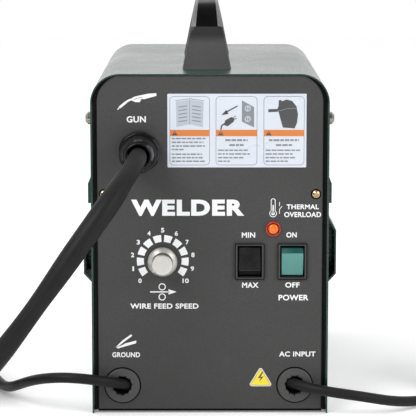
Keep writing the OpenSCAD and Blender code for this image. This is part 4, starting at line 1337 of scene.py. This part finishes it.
def addBars(sheet):
    s = decalSetup
    dice = random.Random(21)
    for number, ((x, width), rows) in enumerate(zip(s["cards"], s["lines"])):
        for row, (z, share) in enumerate(rows):
            heading = number and row < 2
            long = (width - 3.0) * share
            at = x - long / 2 if heading else x - width / 2 + s["margin"]
            end = at + long
            high = 0.85 if heading else 0.62
            while at < end - 0.8:
                piece = min(dice.uniform(1.8, 5.4), end - at)
                bar = [(at, z - high), (at + piece, z - high), (at + piece, z + high), (at, z + high)]
                sheet.fill(bar, "labelGrey", 2)
                at += piece + s["gap"]


def addDecal():
    s = decalSetup
    sheet = Print("safetyDecal", ["labelWhite", "labelGrey", "labelDark", "labelPale", "labelOrange"])
    sheet.fill(roundBox(*s["sheet"], 0.6), "labelWhite")
    low, high = s["band"]
    for x, width in s["cards"]:
        half = width / 2
        sheet.stroke(roundBox(x, 245.6, width, s["cardHeight"], 3.2), 0.45, "labelGrey", 2, closed=True)
        sheet.fill([(x - half, low), (x + half, low), (x + half, high), (x - half, high)], "labelOrange", 3)
        # small dark triangle with a plain stroke in it
        left = x - half + s["margin"]
        sheet.fill([(left, 241.7), (left + 5.0, 241.7), (left + 2.5, 245.7)], "labelDark", 4)
        mark = [(left + 2.2, 243.0), (left + 2.8, 243.0), (left + 2.9, 244.7), (left + 2.1, 244.7)]
        sheet.fill(mark, "labelOrange", 5)
    addBars(sheet)
    # first card: an open booklet
    sheet.fill([(-29.0, 270.4), (-17.4, 272.0), (-17.4, 251.2), (-28.4, 248.6)], "labelPale", 2)
    sheet.fill([(-17.2, 272.0), (-5.4, 270.4), (-6.0, 248.6), (-17.2, 251.2)], "labelPale", 2)
    sheet.stroke([(-29.4, 271.2), (-17.4, 272.9), (-5.0, 271.2)], 0.5, "labelGrey", 3)
    sheet.stroke([(-17.3, 272.4), (-17.3, 250.6)], 0.35, "labelGrey", 3)
    for i in range(5):
        z = 266.4 - 3.1 * i
        sheet.stroke([(-26.8, z - 0.6), (-19.4, z + 0.5)], 0.9, "labelGrey", 3)
        sheet.stroke([(-15.2, z + 0.5), (-7.8, z - 0.6)], 0.9, "labelGrey", 3)
    # second card: a plug drawn out of a socket plate
    sheet.fill([(27.0, 271.6), (37.4, 265.8), (37.4, 248.4), (27.0, 253.4)], "labelGrey", 2)
    for z in (264.6, 255.6):
        sheet.fill(circle(32.0, z, 2.7, 20), "labelPale", 3)
        sheet.fill([(30.8, z - 0.9), (31.3, z - 1.1), (31.3, z + 1.2), (30.8, z + 1.4)], "labelDark", 4)
        sheet.fill([(32.7, z - 1.4), (33.2, z - 1.6), (33.2, z + 0.7), (32.7, z + 0.9)], "labelDark", 4)
    plug = [(11.8, 250.6), (15.0, 249.4), (20.2, 253.4), (20.8, 256.4), (18.2, 257.4), (13.0, 254.6)]
    sheet.fill(plug, "labelDark", 2)
    sheet.stroke([(20.0, 257.0), (22.0, 258.4)], 0.6, "labelDark", 3)
    sheet.stroke([(20.8, 255.2), (22.8, 256.6)], 0.6, "labelDark", 3)
    sheet.stroke([(12.6, 251.8), (10.0, 250.0), (9.2, 246.6)], 1.2, "labelDark", 2)
    sheet.stroke([(23.4, 266.8), (13.6, 261.4)], 1.0, "labelDark", 3)
    sheet.fill([(9.6, 259.0), (15.8, 260.0), (13.8, 263.4)], "labelDark", 3)
    # third card: a welding visor seen from the side
    visor = [
        (57.2, 264.6), (60.4, 270.6), (64.8, 272.2), (69.6, 271.0), (73.2, 266.6), (74.6, 259.6),
        (73.8, 252.4), (71.8, 247.6), (61.8, 248.4), (60.0, 254.6), (58.4, 260.6),
    ]
    sheet.fill(visor, "labelDark", 2)
    sheet.stroke([(58.6, 262.6), (66.0, 264.6), (73.0, 264.6)], 0.5, "labelGrey", 3)
    sheet.fill([(49.4, 261.4), (57.6, 261.8), (57.6, 264.2), (49.4, 264.0)], "labelDark", 2)
    sheet.fill([(57.8, 264.0), (60.0, 264.6), (60.6, 271.6), (58.4, 271.8)], "labelDark", 3)
    sheet.done()


def addBoltSign():
    # yellow triangle with round corners and a plain bolt
    sign = Print("boltSign", ["inkWhite", "labelYellow", "labelDark"])

    def triangle(grow):
        points = []
        for cx, cz, start in ((43.7, 38.0, 60), (36.1, 25.4, -60), (51.3, 25.4, -180)):
            points += arc(cx, cz, 1.7 + grow, [start - 20 * i for i in range(7)])
        return points

    sign.fill(triangle(0), "inkWhite")
    sign.fill(triangle(-0.65), "labelDark", 2)
    sign.fill(triangle(-0.95), "labelYellow", 3)
    bolt = [(44.9, 36.6), (41.2, 30.6), (43.8, 31.2), (42.6, 27.6), (46.4, 32.4), (43.8, 32.0), (45.9, 36.2)]
    sign.fill(bolt, "labelDark", 4)
    sign.done()


addLegends()
addDecal()
addBoltSign()
print("legends printed")


print("pieces in place")
